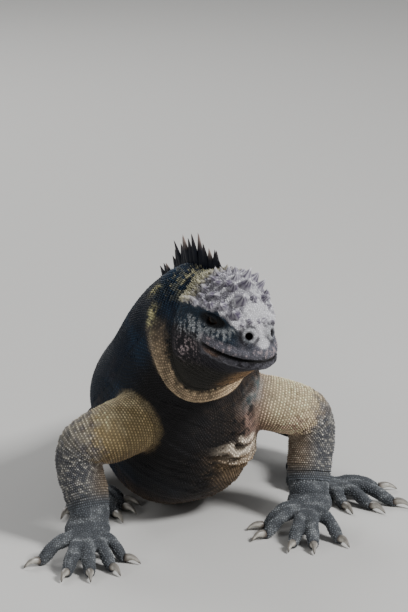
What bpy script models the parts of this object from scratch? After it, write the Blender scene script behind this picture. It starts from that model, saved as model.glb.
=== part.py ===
"""Marine iguana, life size, still, alert on its forelegs with the head turned to its left.

Lengths are in millimetres until a mesh is made. The animal faces -Y and its left side is +X.
The stance frame has the floor at z = 0; an empty carries every piece so that the bottom centre
of the whole animal's box is the world origin.
"""
import math

import bpy
import bmesh
import numpy as np

MM = 0.001
GAP = 0.3

# Trunk stations from the back of the head to the tail tip: centre x, y, z, half width, height
# above the centre, depth below it, roundness of back and belly, how much the top narrows, and
# the pitch and lean in degrees of the section there.
TRUNK = (
    (4.6, 5.0, 156.5, 30.0, 36.0, 46.0, 2.5, 2.5, 0.25, -5.0, 0.0),
    (-2.6, 18.0, 155.7, 33.5, 37.0, 54.0, 2.3, 2.5, 0.18, 8.0, 5.0),
    (-6.5, 30.0, 149.5, 37.0, 38.0, 55.0, 2.1, 2.4, 0.10, 18.0, 8.0),
    (-9.5, 42.0, 139.0, 43.0, 41.0, 56.0, 2.0, 2.5, 0.03, 30.0, 10.0),
    (-18.0, 66.0, 113.0, 49.0, 42.0, 71.0, 2.0, 2.9, 0.0, 40.0, 12.0),
    (-26.0, 101.0, 84.0, 54.0, 45.0, 84.0, 2.0, 2.6, 0.0, 36.0, 12.0),
    (-25.5, 151.0, 58.0, 51.0, 42.0, 62.0, 2.0, 2.7, 0.0, 20.0, 7.0),
    (-19.0, 215.0, 44.0, 38.0, 34.0, 46.0, 2.0, 2.4, 0.0, 9.0, 2.0),
    (-13.0, 265.0, 31.0, 27.0, 28.0, 32.0, 2.0, 2.1, 0.0, 5.0, 0.0),
    (-16.0, 315.0, 26.0, 21.0, 27.0, 27.0, 2.0, 2.0, 0.0, 3.0, 0.0),
    (-25.0, 362.0, 23.5, 18.0, 25.0, 24.2, 2.0, 2.0, 0.0, 2.0, 0.0),
    (-31.0, 412.0, 21.0, 15.0, 22.5, 21.6, 2.0, 2.0, 0.0, 2.0, 0.0),
    (-29.0, 462.0, 18.0, 12.0, 19.5, 18.6, 2.0, 2.0, 0.0, 3.0, 0.0),
    (-16.0, 510.0, 15.0, 9.5, 16.5, 15.4, 2.0, 2.0, 0.0, 3.0, 0.0),
    (4.0, 543.0, 12.0, 7.5, 13.5, 12.3, 2.0, 2.0, 0.0, 3.0, 0.0),
    (25.0, 546.0, 10.0, 6.2, 11.2, 10.2, 2.0, 2.0, 0.0, 3.0, 0.0),
    (37.0, 524.0, 8.2, 5.2, 9.4, 8.4, 2.0, 2.0, 0.0, 3.0, 0.0),
    (36.0, 490.0, 6.4, 4.1, 7.4, 6.6, 2.0, 2.0, 0.0, 3.0, 0.0),
    (28.0, 455.0, 4.4, 2.8, 5.0, 4.5, 2.0, 2.0, 0.0, 2.0, 0.0),
    (24.0, 422.0, 2.4, 1.4, 2.6, 2.5, 2.0, 2.0, 0.0, 2.0, 0.0),
)
HEAD_YAW = 32.0
HEAD_PITCH = -5.0

# Splits of the trunk, as distances along it from the back of the head.
NECK_END = 44.0
TORSO_END = 300.0
TAIL_SPLITS = (415.0, 520.0, 640.0)

# Head rows: distance forward of the neck, half width at the mouth, height of the top and depth
# of the jaw from the mouth line, and the height of the mouth line itself.
HEAD = (
    (0.0, 30.0, 36.0, 46.0, 0.0),
    (10.0, 30.5, 39.0, 40.0, 0.0),
    (20.0, 28.5, 42.0, 33.0, 0.0),
    (30.0, 26.0, 43.2, 25.0, -0.8),
    (40.0, 23.0, 41.0, 17.5, -2.6),
    (47.0, 20.0, 36.5, 13.5, -3.9),
    (52.0, 17.5, 30.5, 11.2, -4.5),
    (56.0, 15.0, 23.5, 9.6, -4.8),
    (60.0, 12.2, 17.5, 8.2, -5.0),
    (63.0, 9.0, 12.8, 7.2, -5.0),
    (65.2, 5.4, 7.6, 5.2, -5.0),
    (66.0, 2.6, 3.6, 2.8, -5.0),
)
HEAD_TIP = (66.4, -5.0)
HEAD_ROUND = 2.5
HEAD_NARROW = 0.25
MOUTH_CORNER = 33.0
EYE = (33.0, 15.6, 15.5)
EYE_RADIUS = 6.2
LID = 1.2
NOSTRIL = (58.0, 8.3, 10.6)
NOSTRIL_RADIUS = 2.7
BROW = ((3.0, 24.0, 19.0), (14.0, 24.0, 21.5), (25.0, 22.0, 22.0), (36.0, 20.0, 22.0),
        (44.0, 17.0, 20.5), (52.0, 12.0, 15.5))

# Forelegs and hind legs: points x, y, z with a radius along, from inside the trunk outwards.
RIGHT_ARM = ((-18.0, 52.0, 90.0, 19.0), (-42.0, 33.0, 81.0, 20.5), (-63.0, 19.0, 74.0, 20.5),
             (-82.0, 18.0, 66.0, 16.5), (-84.0, 17.0, 51.0, 15.7), (-80.0, 10.0, 37.0, 15.0),
             (-77.5, 5.0, 26.0, 13.5))
LEFT_ARM = ((4.0, 70.0, 92.0, 19.0), (30.0, 62.0, 86.0, 19.5), (52.0, 62.0, 81.0, 19.2),
            (71.0, 69.0, 72.0, 17.0), (74.5, 70.0, 56.0, 16.0), (73.5, 66.0, 40.0, 15.4),
            (73.0, 61.0, 27.0, 14.0))
RIGHT_LEG = ((-24.0, 214.0, 42.0, 20.0), (-44.0, 200.0, 41.0, 19.0), (-64.0, 182.0, 36.0, 17.0),
             (-79.0, 163.0, 29.0, 14.5), (-86.0, 147.0, 23.0, 12.5), (-89.0, 134.0, 17.0, 11.0),
             (-90.0, 124.0, 12.0, 10.0))
LEFT_LEG = ((-6.0, 212.0, 40.0, 20.0), (24.0, 204.0, 40.0, 19.0), (53.0, 192.0, 38.0, 17.0),
            (76.0, 177.0, 32.0, 15.0), (81.0, 158.0, 25.0, 13.5), (75.0, 139.0, 17.5, 11.5),
            (68.0, 127.0, 12.0, 10.0))
JOINT_AT = 3.0
WRIST_AT = 6.0

# Hands and feet: palm length, half width, half thickness, height of its heart and slope down
# forwards in degrees; per digit the side angle in degrees (outwards positive), length, radius.
HAND_PALM = (21.0, 15.5, 9.0, 15.0, 12.0)
FOOT_PALM = (26.0, 14.0, 9.5, 5.0, 0.0)
LEFT_HAND = ((-76.0, 19.0, 4.0), (-50.0, 27.0, 4.3), (-16.0, 33.0, 4.5), (1.0, 34.0, 4.5),
             (28.0, 27.0, 4.3))
RIGHT_HAND = ((-64.0, 17.0, 4.0), (-33.0, 25.0, 4.3), (-10.0, 31.0, 4.5), (9.0, 32.0, 4.5),
              (48.0, 24.0, 4.3))
LEFT_FOOT = ((-56.0, 16.0, 3.8), (-30.0, 26.0, 4.0), (-10.0, 37.0, 4.3), (8.0, 45.0, 4.4),
             (44.0, 28.0, 4.2))
RIGHT_FOOT = ((-34.0, 15.0, 3.8), (-14.0, 26.0, 4.0), (3.0, 37.0, 4.3), (18.0, 45.0, 4.4),
              (46.0, 28.0, 4.2))
HAND_CLAW = 12.0
FOOT_CLAW = 14.0
CLAW_RADIUS = 2.9

# Crest: distance along the trunk and height of the spines there, then of the spines on the head.
CREST = ((0.0, 17.0), (8.0, 20.5), (17.0, 22.0), (27.0, 18.0), (34.0, 14.0), (38.0, 11.0),
         (41.0, 6.0), (45.0, 10.0), (52.0, 12.0), (60.0, 9.0), (72.0, 7.0), (250.0, 6.0),
         (330.0, 7.5), (450.0, 6.5), (600.0, 4.5), (700.0, 2.5), (760.0, 1.0))
HEAD_CREST = ((2.6, 15.0), (6.8, 11.0), (10.8, 6.0))
SPINE_ROOT = 2.5
SPINE_THICK = 1.3

# Cones on the head: distance forward of the neck, radius and height there.
CONES = ((9.0, 2.7, 2.6), (18.0, 3.0, 3.0), (30.0, 3.6, 3.9), (40.0, 4.5, 5.8), (48.0, 4.4, 6.0),
         (54.0, 3.2, 3.4))
CONE_ROOT = 1.4

SKIN_COLOURS = {
    "head": (0.33, 0.32, 0.33), "neck": (0.05, 0.06, 0.08), "torso": (0.07, 0.07, 0.08),
    "tail": (0.06, 0.06, 0.07), "arm": (0.20, 0.17, 0.11), "hand": (0.14, 0.15, 0.16),
    "leg": (0.16, 0.13, 0.10), "claw": (0.42, 0.38, 0.30), "eye": (0.015, 0.012, 0.010),
}


def interpolate(rows, at, limited=True):
    """Cubic through rows whose first column is the position; limited keeps it from overshooting."""
    rows = np.asarray(rows, float)
    place, value = rows[:, 0], rows[:, 1:]
    step = np.diff(place)[:, None]
    slope = np.diff(value, axis=0) / step
    tangent = np.empty_like(value)
    tangent[0], tangent[-1] = slope[0], slope[-1]
    tangent[1:-1] = (slope[:-1] * step[1:] + slope[1:] * step[:-1]) / (step[1:] + step[:-1])
    if limited:
        least = 3.0 * np.minimum(abs(slope[:-1]), abs(slope[1:]))
        inner = np.clip(tangent[1:-1], -least, least)
        tangent[1:-1] = np.where(slope[:-1] * slope[1:] > 0.0, inner, 0.0)
    at = np.clip(np.atleast_1d(np.asarray(at, float)), place[0], place[-1])
    i = np.clip(np.searchsorted(place, at, side="right") - 1, 0, len(place) - 2)
    u = ((at - place[i]) / step[i, 0])[:, None]
    rise = step[i] * ((u ** 3 - 2 * u ** 2 + u) * tangent[i] + (u ** 3 - u ** 2) * tangent[i + 1])
    return (2 * u ** 3 - 3 * u ** 2 + 1) * value[i] + (3 * u ** 2 - 2 * u ** 3) * value[i + 1] + rise


def unit(vectors):
    return vectors / np.linalg.norm(vectors, axis=-1, keepdims=True)


def heading(yaw, pitch):
    """Unit vector that looks along -Y, turned by yaw towards +X and raised by pitch."""
    yaw, pitch = math.radians(yaw), math.radians(pitch)
    flat = math.cos(pitch)
    return np.array([math.sin(yaw) * flat, -math.cos(yaw) * flat, math.sin(pitch)])


def frame_of(forward):
    """Left and up vectors for each forward vector."""
    left = unit(np.cross((0.0, 0.0, 1.0), forward))
    return left, np.cross(forward, left)


TRUNK_ROWS = np.asarray(TRUNK, float)
HEAD_FORWARD = heading(HEAD_YAW, HEAD_PITCH)
HEAD_LEFT, HEAD_UP = frame_of(HEAD_FORWARD)
HEAD_ORIGIN = TRUNK_ROWS[0, :3]
TRUNK_PLACE = np.concatenate(([0.0], np.cumsum(np.linalg.norm(
    np.diff(TRUNK_ROWS[:, :3], axis=0), axis=1))))
TRUNK_LENGTH = TRUNK_PLACE[-1]


def trunk_angles():
    """Yaw, pitch and lean at each station; the yaw follows the centre line behind the head."""
    run = np.gradient(TRUNK_ROWS[:, :2], TRUNK_PLACE, axis=0)
    yaw = np.degrees(np.unwrap(np.arctan2(-run[:, 0], run[:, 1])))
    yaw[0] = HEAD_YAW
    return np.column_stack((TRUNK_PLACE, yaw, TRUNK_ROWS[:, 9:]))


TRUNK_ANGLES = trunk_angles()


def trunk_centre(place):
    return interpolate(np.column_stack((TRUNK_PLACE, TRUNK_ROWS[:, :3])), place, limited=False)


def trunk_frame(place):
    """Forward, left and up vectors of the trunk's sections."""
    yaw, pitch, lean = np.radians(interpolate(TRUNK_ANGLES, place)).T
    forward = np.stack((np.sin(yaw) * np.cos(pitch), -np.cos(yaw) * np.cos(pitch),
                        np.sin(pitch)), axis=-1)
    left, up = frame_of(forward)
    lean = lean[:, None]
    return (forward, left * np.cos(lean) + up * np.sin(lean),
            up * np.cos(lean) - left * np.sin(lean))


def half_section(turn, width, top, depth, round_top, round_low, narrow):
    """Side and height of a section: a superellipse whose upper half narrows upwards."""
    cosine, sine = np.cos(turn), np.sin(turn)
    power = 2.0 / np.where(sine >= 0.0, round_top, round_low)
    side = np.sign(cosine) * abs(cosine) ** power * width
    rise = abs(sine) ** power
    side = side * np.where(sine >= 0.0, 1.0 - narrow * rise, 1.0)
    return side, np.where(sine >= 0.0, rise * top, -rise * depth)


def gular_fold(place, turn):
    """Ridge of the throat fold: a collar across the underside of the neck."""
    under = np.clip(-np.sin(turn) + 0.55, 0.0, 1.0)
    return 4.0 * under * np.exp(-((place - 15.0) / 5.5) ** 2)


def trunk_points(place, turn, grow=0.0):
    """Points on the trunk for each place along it and each turn around it, kept off the floor."""
    place = np.atleast_1d(np.asarray(place, float))
    values = interpolate(np.column_stack((TRUNK_PLACE, TRUNK_ROWS[:, 3:9])), place)
    width, top, depth, round_top, round_low, narrow = (column[:, None] for column in values.T)
    side, height = half_section(turn[None, :], width + grow, top + grow, depth + grow,
                                round_top, round_low, narrow)
    swell = gular_fold(place[:, None], turn[None, :])
    reach = np.hypot(side, height)
    side, height = side * (1 + swell / reach), height * (1 + swell / reach)
    forward, left, up = trunk_frame(place)
    points = (trunk_centre(place)[:, None] + side[..., None] * left[:, None]
              + height[..., None] * up[:, None])
    points[..., 2] = np.maximum(points[..., 2], -grow)
    return points


def even_turns(count):
    return np.linspace(0.0, 2.0 * math.pi, count, endpoint=False)


def mouth_turns(count):
    """Turns for one ring of the head, close together at the mouth line on both sides."""
    quarter = 0.5 * math.pi * (np.arange(count) / count) ** 1.6
    half = np.concatenate((quarter, math.pi - 0.5 * math.pi * (np.arange(count, 0, -1) / count) ** 1.6))
    return np.concatenate((half, half + math.pi))


def brow_distance(forward, side, height):
    """Distance of each point from the line of the brow."""
    line = np.asarray(BROW, float)
    spot = np.stack((forward, abs(side), height), axis=-1)
    best = np.full(spot.shape[:-1], 1e9)
    for start, end in zip(line[:-1], line[1:]):
        along = end - start
        u = np.clip(((spot - start) @ along) / (along @ along), 0.0, 1.0)
        best = np.minimum(best, np.linalg.norm(spot - start - u[..., None] * along, axis=-1))
    return best


def bump(value, centre, spread):
    return np.exp(-((value - centre) / spread) ** 2)


def head_swell(forward, side, height):
    """How far the head stands out of its plain loft: brow, eye pit, snout, jowl and cheek."""
    at = abs(side)
    swell = 3.2 * np.exp(-(brow_distance(forward, side, height) / 3.4) ** 2)
    swell -= 4.5 * bump(forward, EYE[0], 8.5) * bump(height, EYE[2] - 0.5, 5.5) * (at > 8.0)
    swell += 1.6 * bump(forward, NOSTRIL[0] - 1.0, 5.0) * bump(at, NOSTRIL[1], 5.0) * bump(
        height, NOSTRIL[2], 5.0)
    swell += 2.4 * bump(forward, 11.0, 8.0) * bump(height, -9.0, 9.0)
    swell += 1.0 * bump(forward, 24.0, 14.0) * bump(height, 5.5, 3.0)
    return swell * np.clip(forward / 5.0, 0.0, 1.0)


def head_points(along, turn):
    """Points on the head before cuts: lofted sections about the mouth line, then swollen."""
    width, top, jaw, line = (column[:, None] for column in interpolate(HEAD, along).T)
    turn = turn[None, :]
    side, height = half_section(turn, width, top, jaw, HEAD_ROUND, HEAD_ROUND, HEAD_NARROW)
    forward = along[:, None] + 0.0 * side
    normal = np.stack((side / width ** 2, height / np.where(height > 0, top, jaw) ** 2), axis=-1)
    normal = unit(normal)
    swell = head_swell(forward, side, height + line)
    at_mouth = abs(np.sin(turn))
    gape = np.clip((forward - MOUTH_CORNER + 3.0) / 4.0, 0.0, 1.0)
    swell += gape * (1.0 * bump(at_mouth, 0.09, 0.06) - 1.5 * (at_mouth < 0.01))
    front = np.clip((HEAD_TIP[0] - forward) / 6.0, 0.15, 1.0)
    side = side + swell * front * normal[..., 0]
    height = height + line + swell * front * normal[..., 1]
    return head_place(forward, side, height)


def head_place(forward, side, height):
    """World place of a point given forward of the neck, to the left and above the mouth line."""
    forward, side, height = (np.asarray(value, float)[..., None] for value in (forward, side, height))
    return HEAD_ORIGIN + forward * HEAD_FORWARD + side * HEAD_LEFT + height * HEAD_UP


def mesh_of(name, rings, first=None, last=None):
    """Closed mesh of rings of points, with a flat cap or a point at each end."""
    rings = np.asarray(rings, float)
    count, around = rings.shape[:2]
    points = [tuple(point) for point in rings.reshape(-1, 3) * MM]
    faces = []
    for i in range(count - 1):
        for j in range(around):
            a, b = i * around + j, i * around + (j + 1) % around
            faces.append((a, b, b + around, a + around))
    for end, tip in ((0, first), (count - 1, last)):
        ring = [end * around + j for j in range(around)]
        if tip is None:
            faces.append(tuple(reversed(ring)) if end == 0 else tuple(ring))
            continue
        points.append(tuple(np.asarray(tip, float) * MM))
        for j in range(around):
            pair = (ring[j], ring[(j + 1) % around])
            faces.append((pair[1], pair[0], len(points) - 1) if end == 0 else
                         (pair[0], pair[1], len(points) - 1))
    mesh = bpy.data.meshes.new(name)
    mesh.from_pydata(points, [], faces)
    work = bmesh.new()
    work.from_mesh(mesh)
    bmesh.ops.recalc_face_normals(work, faces=work.faces)
    work.to_mesh(mesh)
    work.free()
    return mesh


def place_object(name, mesh):
    piece = bpy.data.objects.new(name, mesh)
    bpy.context.scene.collection.objects.link(piece)
    return piece


def drop(piece):
    mesh = piece.data
    bpy.data.objects.remove(piece)
    bpy.data.meshes.remove(mesh)


def keep_largest(mesh):
    """Keeps the closed surface with the largest volume, and clears needles left by a cut."""
    work = bmesh.new()
    work.from_mesh(mesh)
    bmesh.ops.triangulate(work, faces=work.faces)
    bmesh.ops.dissolve_degenerate(work, edges=work.edges, dist=0.00001)
    bmesh.ops.triangulate(work, faces=work.faces)
    left = set(work.faces)
    groups = []
    while left:
        group, edge_of = set(), [left.pop()]
        group.add(edge_of[0])
        while edge_of:
            face = edge_of.pop()
            for edge in face.edges:
                for other in edge.link_faces if len(edge.link_faces) == 2 else ():
                    if other in left:
                        left.remove(other)
                        group.add(other)
                        edge_of.append(other)
        groups.append(group)

    def volume(group):
        return sum(face.verts[0].co.dot(face.verts[1].co.cross(face.verts[2].co)) for face in group)

    keep = max(groups, key=volume)
    bmesh.ops.delete(work, geom=[face for face in work.faces if face not in keep], context="FACES")
    loose = [vertex for vertex in work.verts if not vertex.link_faces]
    bmesh.ops.delete(work, geom=loose, context="VERTS")
    work.to_mesh(mesh)
    work.free()


def combine(piece, others, operation, solver="EXACT"):
    """Joins or cuts a piece with a collection of closed pieces, which are then removed."""
    group = bpy.data.collections.new("group")
    bpy.context.scene.collection.children.link(group)
    for other in others:
        bpy.context.scene.collection.objects.unlink(other)
        group.objects.link(other)
    modifier = piece.modifiers.new("combine", "BOOLEAN")
    modifier.operation = operation
    modifier.solver = solver
    modifier.operand_type = "COLLECTION"
    modifier.collection = group
    bpy.context.view_layer.update()
    result = bpy.data.meshes.new_from_object(
        piece.evaluated_get(bpy.context.evaluated_depsgraph_get()))
    piece.modifiers.remove(modifier)
    before = piece.data
    piece.data = result
    bpy.data.meshes.remove(before)
    for other in others:
        drop(other)
    bpy.data.collections.remove(group)
    keep_largest(piece.data)
    return piece


def ellipsoid(name, centre, axes, around=14, rings=7):
    """Closed ellipsoid; axes are three vectors from the centre to the surface, poles on the last."""
    axes = np.asarray(axes, float)
    lift = np.linspace(-0.5 * math.pi, 0.5 * math.pi, rings + 1)[1:-1]
    turn = even_turns(around)
    ring = (np.cos(turn)[:, None] * axes[0] + np.sin(turn)[:, None] * axes[1])
    rows = [centre + math.cos(a) * ring + math.sin(a) * axes[2] for a in lift]
    return place_object(name, mesh_of(name, rows, centre - axes[2], centre + axes[2]))


def tube_rings(centres, radii, around, start_way=None):
    """Rings across a line of centres; start_way sets which way the first ring faces."""
    centres = np.asarray(centres, float)
    forward = unit(np.gradient(centres, axis=0))
    if start_way is not None:
        forward[0] = start_way
    side = np.cross(forward, (0.0, 0.0, 1.0))
    weak = np.linalg.norm(side, axis=1) < 0.25
    if weak.any():
        side = np.cross(forward, unit(np.array([0.3, 1.0, 0.0])))
    side = unit(side)
    rise = np.cross(side, forward)
    turn = even_turns(around)
    radii = np.broadcast_to(np.asarray(radii, float), (len(centres),))
    return centres[:, None] + radii[:, None, None] * (
        np.cos(turn)[None, :, None] * side[:, None] + np.sin(turn)[None, :, None] * rise[:, None])


def floor_cutter():
    size, depth = 500.0, 40.0
    corners = [(x, y + 300.0) for x, y in ((-size, -size), (size, -size), (size, size), (-size, size))]
    rings = [[(x, y, -depth) for x, y in corners], [(x, y, 0.0) for x, y in corners]]
    return place_object("floor_cut", mesh_of("floor_cut", rings))


def trunk_cutter():
    """The neck, trunk and tail root grown by the gap, for cutting the limbs to meet them."""
    places = np.arange(0.0, TORSO_END + 120.0, 6.0)
    return place_object("trunk_cut", mesh_of("trunk_cut", trunk_points(places, even_turns(48), GAP)))


def crest_height(place):
    return interpolate(CREST, place)[:, 0]


def spine(root, up, back, left, height, length):
    """Spine as a blade: a diamond sunk in at its root, another half way and a bent tip."""
    rings = []
    for wide, thick, rise in ((1.0, 1.0, -SPINE_ROOT), (0.95, 0.8, 0.5 * height)):
        centre = root + rise * up + max(0.0, 0.05 * rise) * back
        rings.append([centre + 0.5 * wide * length * back, centre + thick * SPINE_THICK * left,
                      centre - 0.5 * wide * length * back, centre - thick * SPINE_THICK * left])
    tip = root + height * up + 0.12 * height * back
    return place_object("spine", mesh_of("spine", rings, None, tip))


def trunk_spines(start, end, spacing, chance):
    """Spines along the midline of the back between two distances, varied a little in height."""
    count = int((end - start) / spacing)
    places = start + spacing * (0.5 + np.arange(count)) * (end - start) / (spacing * count)
    forward, left, up = trunk_frame(places)
    root = trunk_points(places, np.array([0.5 * math.pi]))[:, 0]
    height = crest_height(places) * chance.uniform(0.82, 1.10, count)
    return [spine(root[i], up[i], -forward[i], left[i], height[i], 1.25 * spacing)
            for i in range(count)]


def trunk_node(name, start, end, spacing, around, last=None):
    count = max(2, int(round((end - start) / spacing)) + 1)
    places = np.linspace(start, end, count)
    if last is not None:
        places[-1] -= 1.0
    points = trunk_points(places, even_turns(around))
    forward = trunk_frame(places)[0]
    points[0] -= 0.5 * GAP * forward[0]
    if last is None:
        points[-1] += 0.5 * GAP * forward[-1]
    return place_object(name, mesh_of(name, points, None, last))


def build_trunk():
    chance = np.random.default_rng(11)
    neck = trunk_node("neck", 0.0, NECK_END, 4.5, 28)
    combine(neck, trunk_spines(1.4, NECK_END - 0.9, 5.0, chance), "UNION")
    torso = trunk_node("torso", NECK_END, TORSO_END, 12.0, 28)
    combine(torso, trunk_spines(NECK_END + 1.6, TORSO_END - 1.6, 8.4, chance), "UNION")
    stops = (TORSO_END,) + TAIL_SPLITS + (TRUNK_LENGTH,)
    for number, (start, end) in enumerate(zip(stops[:-1], stops[1:]), 1):
        tip = None if end < TRUNK_LENGTH else trunk_centre(np.array([TRUNK_LENGTH]))[0]
        tail = trunk_node(f"tail_{number}", start, end, 14.0, 16, tip)
        reach = end - 2.4 if tip is None else end - 12.0
        combine(tail, trunk_spines(start + 2.4, reach, 12.0, chance), "UNION")


def build_head():
    along = np.concatenate(([0.0], np.arange(4.0, 53.0, 4.0),
                            [55.0, 57.5, 60.0, 62.0, 63.6, 64.9, 65.7]))
    points = head_points(along, mouth_turns(8))
    points[0] += 0.5 * GAP * HEAD_FORWARD
    tip = head_place(HEAD_TIP[0], 0.0, HEAD_TIP[1])
    head = place_object("head", mesh_of("head", points, None, tip))
    joined, cut = head_spines() + head_cones(), []
    for side in (-1, 1):
        centre = head_place(EYE[0], side * EYE[1], EYE[2])
        axes = np.array([HEAD_FORWARD, HEAD_UP, side * HEAD_LEFT])
        joined.append(ellipsoid("lid", centre, (EYE_RADIUS + GAP + LID) * axes))
        cut.append(ellipsoid("socket", centre, (EYE_RADIUS + GAP) * axes))
        slit = centre + side * 7.0 * HEAD_LEFT
        cut.append(ellipsoid("slit", slit, np.array([5.4, 3.3, 5.0])[:, None] * axes))
        eye = ellipsoid("eye_left" if side > 0 else "eye_right", centre, EYE_RADIUS * axes)
        eye.data.shade_smooth()
        opening = head_place(NOSTRIL[0], side * NOSTRIL[1], NOSTRIL[2])
        out = unit(0.80 * HEAD_FORWARD + side * 0.55 * HEAD_LEFT + 0.15 * HEAD_UP)
        line = [opening + out * step for step in (-5.0, 0.0, 1.6)]
        joined.append(tube("rim", line, (5.5, 4.6, 3.9), 12))
        line = [opening + out * step for step in (-3.5, 0.0, 6.0)]
        cut.append(tube("nostril", line, (1.6, NOSTRIL_RADIUS, 3.4), 12))
    combine(head, joined, "UNION")
    combine(head, cut, "DIFFERENCE")


def head_spines():
    """The crest's first spines, on the back of the head."""
    spines = []
    for forward, height in HEAD_CREST:
        root = head_place(forward, 0.0, interpolate(HEAD, forward)[0, 1])
        spines.append(spine(root, HEAD_UP, -HEAD_FORWARD, HEAD_LEFT, height, 3.6))
    return spines


def head_normal(along, turn):
    """Outward direction of the head's surface at one place."""
    step, swing = np.array([along - 1.0, along + 1.0]), np.array([turn - 0.05, turn + 0.05])
    points = head_points(step, swing)
    lengthways = points[1].mean(axis=0) - points[0].mean(axis=0)
    around = points[:, 1].mean(axis=0) - points[:, 0].mean(axis=0)
    normal = unit(np.cross(lengthways, around))
    middle = head_place(along, 0.0, 0.0)
    return normal * np.sign(normal @ (points.mean(axis=(0, 1)) - middle))


def cone(centre, normal, radius, height, chance):
    """Six-sided conical scale, its root sunk in the skin."""
    side = unit(np.cross(normal, HEAD_FORWARD))
    ahead = np.cross(side, normal)
    turn = even_turns(6) + chance.uniform(0.0, 1.0)
    ring = np.cos(turn)[:, None] * side + np.sin(turn)[:, None] * ahead
    wide = ring * radius * chance.uniform(0.88, 1.08, (6, 1))
    tip = centre + height * normal - 0.15 * height * HEAD_FORWARD
    rings = [centre - CONE_ROOT * normal + wide, centre + 0.15 * height * normal + 0.96 * wide]
    return place_object("cone", mesh_of("cone", rings, None, tip))


def head_cones():
    """Cones in staggered rows across the top of the head, between the brows."""
    chance = np.random.default_rng(5)
    brow = np.asarray(BROW, float)[:, (0, 2)]
    turns = np.linspace(0.0, math.pi, 181)
    cones, along, row = [], CONES[0][0], 0
    while along <= CONES[-1][0]:
        radius, height = interpolate(CONES, along)[0]
        points = head_points(np.array([along]), turns)[0]
        arc = np.concatenate(([0.0], np.cumsum(np.linalg.norm(np.diff(points, axis=0), axis=1))))
        level = (points - HEAD_ORIGIN) @ HEAD_UP
        inside = np.flatnonzero(level > interpolate(brow, along)[0, 0] + 0.5)
        span = arc[inside[-1]] - arc[inside[0]]
        count = max(2, int(span / (2.0 * radius)) + row % 2)
        for share in (np.arange(count) + 0.5) / count:
            turn = np.interp(arc[inside[0]] + share * span, arc, turns)
            place = along + chance.uniform(-0.5, 0.5)
            centre = head_points(np.array([place]), np.array([turn]))[0, 0]
            cones.append(cone(centre, head_normal(place, turn), radius * chance.uniform(0.86, 1.06),
                              height * chance.uniform(0.75, 1.2), chance))
        along += 1.75 * radius
        row += 1
    return cones


def tube(name, centres, radii, around, last=None):
    return place_object(name, mesh_of(name, tube_rings(centres, radii, around), None, last))


def limb_rings(rows, start, end, grow=0.0):
    """Rings along part of a limb, numbered by its points; the far end stops half a gap early."""
    table = np.column_stack((np.arange(len(rows)), np.asarray(rows, float)))
    at = np.linspace(start, end, 9)
    values = interpolate(table, at, limited=False)
    near = interpolate(table, at + 0.7, limited=False) - interpolate(table, at - 0.7, limited=False)
    forward = unit(near[:, :3])
    centres = values[:, :3]
    centres[-1] += (grow - 0.5 * GAP) * forward[-1]
    side, sides = np.array([0.0, 0.0, 1.0]), []
    for way in forward:
        side = unit(side - (side @ way) * way)
        sides.append(side)
    side = np.array(sides)
    rise = np.cross(side, forward)
    turn = even_turns(14)
    return centres[:, None] + (values[:, 3] + grow)[:, None, None] * (
        np.cos(turn)[None, :, None] * side[:, None] + np.sin(turn)[None, :, None] * rise[:, None])


def limb_cutter(rows, start, end):
    """Part of a limb grown by the gap, for cutting what grows from its far end."""
    return place_object("limb_cut", mesh_of("limb_cut", limb_rings(rows, start, end, GAP)))


def build_limb(rows, upper, lower):
    first = place_object(upper, mesh_of(upper, limb_rings(rows, 0.0, JOINT_AT)))
    combine(first, [trunk_cutter()], "DIFFERENCE")
    second = place_object(lower, mesh_of(lower, limb_rings(rows, JOINT_AT, WRIST_AT)))
    combine(second, [trunk_cutter(), limb_cutter(rows, 0.0, JOINT_AT)], "DIFFERENCE")


def build_claw(name, base, forward, length):
    """Curved cone from a flat root, bent down to just above the floor."""
    fall = base[2] - 0.6
    steps = np.linspace(0.0, 1.0, 5)
    up = np.array([0.0, 0.0, 1.0])
    centres = [base + forward * length * u + up * (1.6 * math.sin(math.pi * u) - fall * u ** 2.2)
               for u in steps]
    radii = CLAW_RADIUS * (1.0 - 0.86 * steps ** 1.2)
    rings = tube_rings(centres[:-1], radii[:-1], 7, forward)
    return place_object(name, mesh_of(name, rings, None, centres[-1]))


def build_foot(name, rows, turn, side, palm, digits, claw_length):
    """Hand or foot: joint stub, palm and five digits in one, cut flat at the floor."""
    length, half, thick, height, slope = palm
    joint, before = np.asarray(rows[-1], float), np.asarray(rows[-2], float)
    ahead = heading(turn, 0.0)
    across = side * np.array([-ahead[1], ahead[0], 0.0])
    down_way = unit(joint[:3] - before[:3])
    heart = joint[:3] + 0.5 * length * ahead
    heart[2] = height
    start = joint[:3]
    radius = joint[3]
    line = [start, start + 2.0 * down_way, 0.5 * (start + heart) + down_way, heart - 0.2 * length * ahead]
    foot = tube(name, line, (radius, radius, radius * 0.94, radius * 0.72), 14)
    tilted, rise = heading(turn, -slope), np.cross(heading(turn, -slope), across)
    rise = rise * np.sign(rise[2])
    pieces = [ellipsoid("palm", heart, (length * 0.85 * tilted, half * across, thick * rise))]
    for number, (spread, reach, thickness) in enumerate(digits, 1):
        angle = math.radians(spread)
        way = math.cos(angle) * tilted + math.sin(angle) * across
        flat = unit(way * (1.0, 1.0, 0.0))
        knuckle = heart + way * 0.9 * half + 0.30 * length * tilted + 0.25 * thick * rise
        root = knuckle - 0.55 * half * way - 1.0 * rise
        tip = knuckle + flat * reach
        tip[2] = thickness - 1.0
        arch = 0.5 * (knuckle + tip) + np.array([0.0, 0.0, 0.10 * reach])
        pieces.append(tube("digit", [root, knuckle, arch, tip - 3.0 * flat, tip],
                           (thickness, thickness + 0.4, thickness + 0.2, thickness - 0.4,
                            thickness - 0.8), 7))
        build_claw(f"claw_{name}_{number}", tip + GAP * flat, flat, claw_length)
    combine(foot, pieces, "UNION")
    combine(foot, [floor_cutter(), limb_cutter(rows, JOINT_AT, WRIST_AT)], "DIFFERENCE")


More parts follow.
